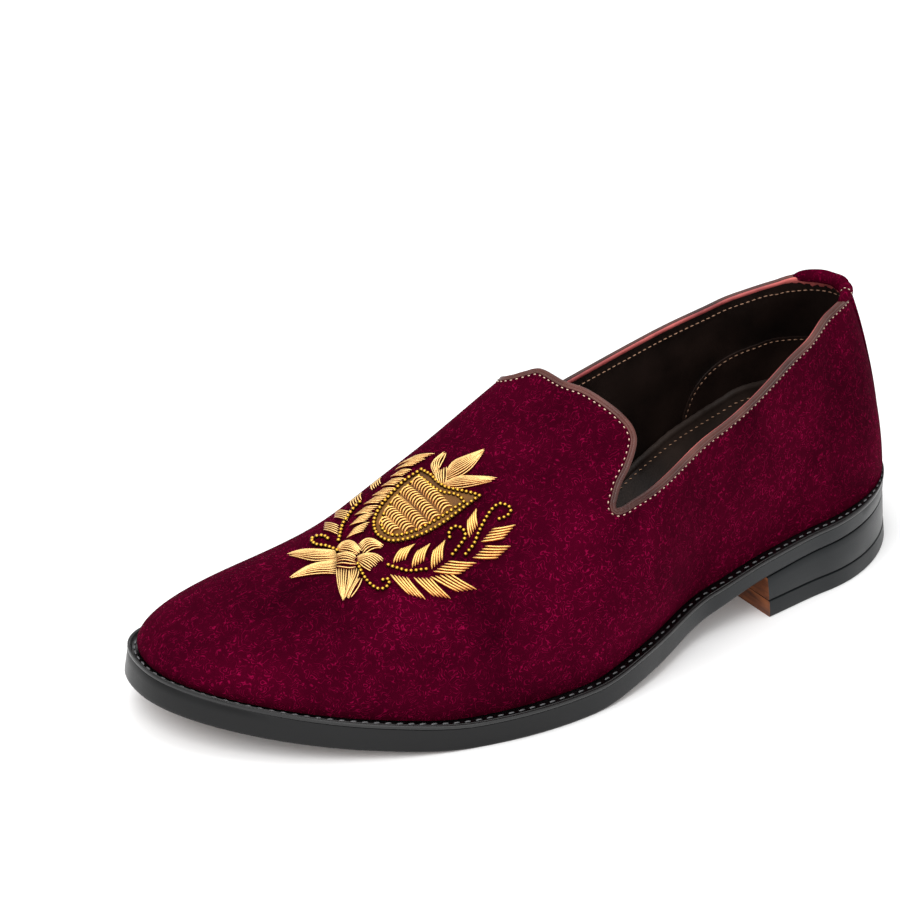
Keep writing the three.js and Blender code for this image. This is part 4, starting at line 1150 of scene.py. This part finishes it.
# Fans of strands between two edges: each edge from its base to its tip, and the number of strands
KNOT_FANS = [
    ([(82.0, -8.9), (85.1, -13.2), (88.7, -17.8), (93.7, -20.7)],
     [(84.3, -4.9), (86.9, -7.6), (89.7, -10.1), (93.6, -19.8)], 9),
    ([(84.5, -4.6), (88.2, -7.6), (92.3, -9.3), (100.0, -9.2)],
     [(88.0, 0.0), (91.6, -3.4), (95.6, -6.3), (100.1, -9.0)], 9),
    ([(86.6, -1.6), (88.8, 2.0), (90.8, 6.0), (92.5, 10.8)],
     [(83.9, 1.7), (86.5, 5.0), (89.7, 8.4), (92.4, 10.9)], 6),
    ([(83.8, 1.7), (86.4, 5.5), (89.2, 8.5), (91.7, 10.5)],
     [(81.2, 3.6), (83.4, 5.9), (86.5, 7.7), (91.3, 10.4)], 5),
    ([(83.7, 6.6), (86.2, 7.9), (88.8, 9.3), (91.0, 11.1)],
     [(82.7, 7.5), (84.8, 9.1), (87.4, 10.4), (90.3, 11.3)], 3),
    ([(80.8, -9.9), (78.4, -10.4), (76.2, -8.8), (76.2, -1.8)],
     [(81.6, -8.3), (80.5, -6.3), (79.3, -4.1), (77.9, -1.2)], 8),
    ([(75.4, -5.2), (72.6, -5.4), (71.1, -3.6), (70.1, 1.7)],
     [(76.9, -0.1), (75.0, -0.2), (73.1, 0.2), (70.7, 2.2)], 7),
    ([(78.7, -1.2), (76.2, -0.1), (74.0, 2.7), (73.3, 6.7)],
     [(79.8, 0.6), (79.9, 3.2), (79.5, 5.4), (78.9, 7.0)], 9),
]
KNOT_BAND = (
    [(83.2, -6.7), (81.2, -5.2), (79.8, -3.3), (79.1, -0.8)],
    [(86.2, -2.0), (84.8, 0.1), (83.4, 1.8), (81.2, 2.9)], 7)
PLUME_FANS = [
    ([(44.3, -5.9), (43.1, -9.7), (42.0, -11.1), (36.9, -11.0)],
     [(42.1, -7.1), (40.4, -7.9), (38.4, -8.9), (36.9, -10.2)], 6),
    ([(45.8, -2.3), (45.1, -4.7), (42.8, -7.2)], [(44.3, -0.2), (42.3, -2.2), (40.1, -5.6)], 6),
    ([(40.6, -4.4), (37.6, -4.7), (34.7, -2.7), (29.5, 1.4)],
     [(43.6, -1.1), (40.6, 1.4), (36.2, 2.8), (29.5, 1.6)], 10),
    ([(44.3, -1.0), (40.6, 1.0), (36.9, 6.2), (32.5, 12.9)],
     [(45.1, 0.6), (42.8, 4.7), (39.9, 7.6), (33.2, 13.0)], 8),
]

# Leaves of the sprays: base, tip, width, the side they bow to
OUTER_LEAVES = [
    ((71.8, 9.6), (63.0, 9.1), 4.2, 1), ((68.2, 15.1), (59.5, 12.8), 4.2, 1),
    ((63.7, 19.8), (55.5, 15.5), 4.4, 1), ((74.8, 12.3), (70.4, 25.6), 4.4, -1),
    ((69.6, 18.1), (63.7, 30.1), 4.4, -1), ((65.2, 21.5), (55.5, 33.1), 4.6, -1),
    ((63.7, 20.7), (51.8, 27.8), 4.6, -1), ((51.8, 25.9), (40.6, 31.0), 4.4, -1),
    ((47.3, 24.1), (36.2, 27.7), 4.2, -1), ((49.3, 20.6), (42.8, 15.1), 4.0, 1),
]
INNER_LEAVES = [
    ((76.2, -11.2), (67.4, -10.5), 4.0, -1), ((72.2, -15.3), (64.2, -12.6), 3.8, -1),
    ((68.3, -18.1), (61.5, -13.7), 3.8, -1), ((63.7, -19.5), (57.3, -14.0), 3.6, -1),
    ((59.9, -20.0), (54.1, -14.3), 3.4, -1), ((55.9, -20.6), (50.2, -15.0), 3.4, -1),
    ((51.7, -21.1), (46.9, -15.8), 3.2, -1), ((48.8, -22.6), (42.0, -15.1), 2.8, -1),
    ((46.7, -23.8), (39.1, -13.8), 2.6, -1), ((77.0, -15.1), (75.5, -25.4), 5.0, 1),
    ((71.0, -18.1), (69.0, -28.4), 5.0, 1), ((65.7, -23.5), (59.5, -26.4), 4.6, 1),
    ((57.9, -22.9), (52.4, -25.4), 4.0, 1),
]

# Rows of beads: stems, tendrils, and the two borders of the shield
OUTER_TENDRILS = [
    [(73.5, 9.1), (72.5, 11.1), (71.4, 12.9), (70.4, 14.6), (68.7, 16.2), (66.7, 17.6), (65.2, 18.7)],
    [(56.3, 20.9), (53.3, 20.4), (50.3, 19.6), (49.5, 17.7), (50.3, 15.1), (51.8, 14.2), (53.3, 14.7),
     (54.0, 16.0)],
    [(53.1, 23.7), (49.5, 23.2), (46.5, 21.6), (42.8, 20.0), (39.8, 19.2), (37.8, 19.2), (36.5, 19.8),
     (35.4, 21.5), (34.9, 23.5), (36.1, 24.1), (38.3, 23.6), (39.3, 23.0)],
]
KNOT_TENDRILS = [
    [(80.5, 1.7), (81.2, 4.2), (81.9, 7.7), (81.9, 11.1), (81.0, 13.9), (79.2, 15.1), (77.6, 14.9),
     (76.4, 13.9), (76.9, 12.7), (77.9, 12.4)],
    [(81.7, -8.6), (82.3, -11.1), (83.1, -13.8), (84.4, -15.9), (84.6, -18.6), (83.5, -20.7), (81.8, -20.4),
     (80.4, -18.4), (80.4, -16.0)],
]
INNER_STEM = [
    (78.6, -12.3), (76.9, -14.0), (74.9, -16.2), (72.7, -18.1), (70.5, -19.3), (68.4, -20.5), (66.1, -21.4),
    (63.5, -21.9),
]
SHIELD_EDGE = [
    (45.3, -12.2), (50.8, -14.0), (57.4, -13.6), (62.6, -12.1), (66.7, -8.9), (68.9, -3.8), (68.1, 1.5),
    (64.3, 5.5), (58.5, 8.8), (52.4, 10.7), (45.0, 11.9), (39.8, 12.8),
]
SHIELD_TOP = [
    (45.3, -12.2), (45.0, -7.4), (45.3, -3.5), (45.0, 0.9), (43.6, 4.5), (42.1, 7.7), (40.6, 10.7),
    (39.8, 12.8),
]
SHIELD_INNER_EDGE = [
    (47.3, -10.8), (53.3, -11.1), (59.2, -10.3), (64.2, -7.7), (66.7, -3.4), (65.8, 1.3), (61.3, 5.0),
    (54.0, 7.9), (47.3, 9.7), (44.3, 10.4),
]
SHIELD_INNER_TOP = [
    (47.3, -10.8), (47.3, -6.2), (47.3, -1.8), (46.5, 2.2), (45.0, 5.1), (44.1, 7.9), (44.3, 10.4),
]


def bead_row(plan, lift=0.7):
    return *on_vamp(through(plan, 0.6), lift), 1.0


def fan(edge_a, edge_b, count, raise_by=1.0, low=0.5):
    """Strands side by side from one edge to the other, with slightly uneven tips."""
    a, b = spaced(through(edge_a, 0.5), 11), spaced(through(edge_b, 0.5), 11)
    t = np.linspace(0, 1, 11)
    strands = []
    for k in range(count):
        f = k / (count - 1)
        reach = 1 - 0.1 * abs(math.sin(2.3 * k + 0.7))
        line = spaced(a + (b - a) * f, 11)
        plan = np.column_stack([np.interp(t * reach, t, line[:, m]) for m in range(2)])
        painted_light_from_above = raise_by * (1 - abs(2 * f - 1) ** 2.5)
        arch_over = np.sin(np.pi * np.clip(t, 0.04, 0.96)) ** 0.6
        spots, normals = on_vamp(plan, low + (0.25 + painted_light_from_above) * arch_over)
        ends = np.clip(np.minimum(t, 1 - t) * 9, 0, 1) ** 0.5
        strands.append((spots, normals, 0.4 + 0.6 * ends))
    return strands


def laid_leaves(leaves, count):
    return [line for base, tip, width, hand in leaves for line in leaf(base, tip, width, hand, count)]


def laid_fans(fans):
    return [line for edge_a, edge_b, count in fans for line in fan(edge_a, edge_b, count)]


laid_piece("outer_spray_bullion", STRAND_TREE, laid_leaves(OUTER_LEAVES, 5), BULLION, GOLD,
           ("crest_spray_outer",))
laid_piece("outer_spray_beads", ROW_TREE, [bead_row(row) for row in OUTER_TENDRILS], BEAD_SIZES, BEAD,
           ("crest_spray_outer",))
laid_piece("inner_spray_bullion", STRAND_TREE, laid_leaves(INNER_LEAVES, 5), FINE_BULLION, PALE_GOLD,
           ("crest_spray_inner",))
laid_piece("inner_spray_beads", ROW_TREE, [bead_row(INNER_STEM)], BEAD_SIZES, BEAD,
           ("crest_spray_inner",))
laid_piece("plume_bullion", STRAND_TREE, laid_fans(PLUME_FANS), FINE_BULLION, PALE_GOLD,
           ("crest_plume",))
laid_piece("knot_bullion", STRAND_TREE, laid_fans(KNOT_FANS) + fan(*KNOT_BAND, 1.4, 1.0), FINE_BULLION,
           PALE_GOLD, ("crest_knot",))
laid_piece("knot_beads", ROW_TREE, [bead_row(row) for row in KNOT_TENDRILS], BEAD_SIZES, BEAD,
           ("crest_knot",))

# Shield: a felt pad whose dark colour is painted shade between the loops, two rows of beads round it, and
# bands of purl loops across it
shield_rim = np.concatenate([through(SHIELD_EDGE, 0.7), through(SHIELD_TOP[::-1], 0.7)[1:-1]])
shield_centre = np.array([54.0, -0.7])


def shield_pad():
    rings = []
    for share, lift in ((1.0, 0.05), (1.0, 0.35), (0.9, 0.7), (0.7, 0.85), (0.4, 0.9), (0.1, 0.9)):
        rings.append(on_vamp(shield_centre + (shield_rim - shield_centre) * share, lift)[0])
    points, faces = loft(rings)
    count = len(shield_rim)
    top = on_vamp(shield_centre[None], 0.9)[0]
    base = on_vamp(shield_centre[None], 0.05)[0]
    last = (len(rings) - 1) * count
    faces += [(last + i, len(points), last + (i + 1) % count) for i in range(count)]
    faces += [((i + 1) % count, len(points) + 1, i) for i in range(count)]
    return np.concatenate([points, top, base]), faces


closed_piece("shield_pad_felt", *shield_pad(), PAD_AND_PAINTED_SHADE, "gold_thread", ("crest_shield",), 50)
border = [bead_row(row, 0.9) for row in (SHIELD_EDGE, SHIELD_TOP, SHIELD_INNER_EDGE, SHIELD_INNER_TOP)]
laid_piece("shield_beads", ROW_TREE, border, BEAD_SIZES, BEAD, ("crest_shield",))

SHIELD_TOP_MIDDLE, SHIELD_TIP = np.array([44.0, 0.5]), np.array([69.0, -2.9])
SHIELD_BANDS = [(5.2, 9.4), (9.4, 9.2), (13.6, 8.2), (17.4, 6.4), (20.8, 3.8)]


def purl_loops():
    run = (SHIELD_TIP - SHIELD_TOP_MIDDLE) / np.linalg.norm(SHIELD_TIP - SHIELD_TOP_MIDDLE)
    side = np.array([-run[1], run[0]])
    loops = []
    for along, half in SHIELD_BANDS:
        for at in np.arange(-half, half + 0.01, 1.36):
            middle = SHIELD_TOP_MIDDLE + run * (along - 0.1 * at) + side * at
            loops.append(strand(middle - run * 1.95, middle + run * 1.95, -0.24, 0.7, 0.95, 0.9, 7))
    return loops


laid_piece("shield_loops", STRAND_TREE, purl_loops(), BULLION, GOLD, ("crest_shield",))


# Floor, light and camera. Lamps: name, place in metres, size, power
LAMPS = [
    ("key", (0.9, 0.35, 1.3), 1.0, 14.0), ("fill", (0.5, 1.5, 0.5), 1.2, 9.0),
    ("top", (-0.2, -0.3, 1.6), 1.4, 11.0),
]


def studio():
    made, tree, shader = new_material("pale floor", Roughness=0.9, Specular_IOR_Level=0.1)
    speck = add(tree, "ShaderNodeTexNoise", {"Vector": place_of(tree), "Scale": 3.0})
    shade = ramp(tree, speck.outputs["Fac"], [(0.3, (0.96, 0.96, 0.96, 1)), (0.7, (0.98, 0.98, 0.98, 1))])
    tree.links.new(shade, shader.inputs["Base Color"])
    mesh = bpy.data.meshes.new("floor")
    mesh.from_pydata([(-6, -6, 0), (6, -6, 0), (6, 6, 0), (-6, 6, 0)], [], [(0, 1, 2, 3)])
    mesh.materials.append(made)
    floor = bpy.data.objects.new("floor", mesh)
    scene.collection.objects.link(floor)
    world = bpy.data.worlds.new("studio")
    scene.world = world
    world.use_nodes = True
    back = world.node_tree.nodes["Background"]
    back.inputs["Color"].default_value = (1.0, 1.0, 1.0, 1.0)
    back.inputs["Strength"].default_value = 0.74
    for name, place, size, power in LAMPS:
        data = bpy.data.lights.new(name, "AREA")
        data.size = size
        data.energy = power
        lamp = bpy.data.objects.new(name, data)
        back_axis = np.array(place) - np.array([0.0, 0.0, 0.04])
        back_axis /= np.linalg.norm(back_axis)
        right = np.cross([0, 0, 1], back_axis)
        right /= np.linalg.norm(right)
        rows = np.column_stack([right, np.cross(back_axis, right), back_axis])
        lamp.matrix_world = Matrix.Translation(place) @ Matrix(rows.tolist()).to_4x4()
        scene.collection.objects.link(lamp)
    scene.view_settings.view_transform = "Standard"


CAMERA_PLACE = np.array([590.428, 759.602, 588.852])
CAMERA_RIGHT = (-0.815253, 0.578964, 0.012802)
CAMERA_UP = (-0.267126, -0.395577, 0.878728)
CAMERA_BACK = (0.513816, 0.712965, 0.477151)
FOCAL_SHARE = 3249.458 / 900


def camera():
    data = bpy.data.cameras.new("camera")
    data.sensor_width = 36.0
    data.lens = FOCAL_SHARE * data.sensor_width
    data.clip_start, data.clip_end = 0.05, 20.0
    made = bpy.data.objects.new("camera", data)
    turn = Matrix(np.column_stack([CAMERA_RIGHT, CAMERA_UP, CAMERA_BACK]).tolist()).to_4x4()
    made.matrix_world = Matrix.Translation((CAMERA_PLACE + AXIS) * 0.001) @ turn
    scene.collection.objects.link(made)
    scene.camera = made


studio()
camera()
bpy.context.view_layer.update()
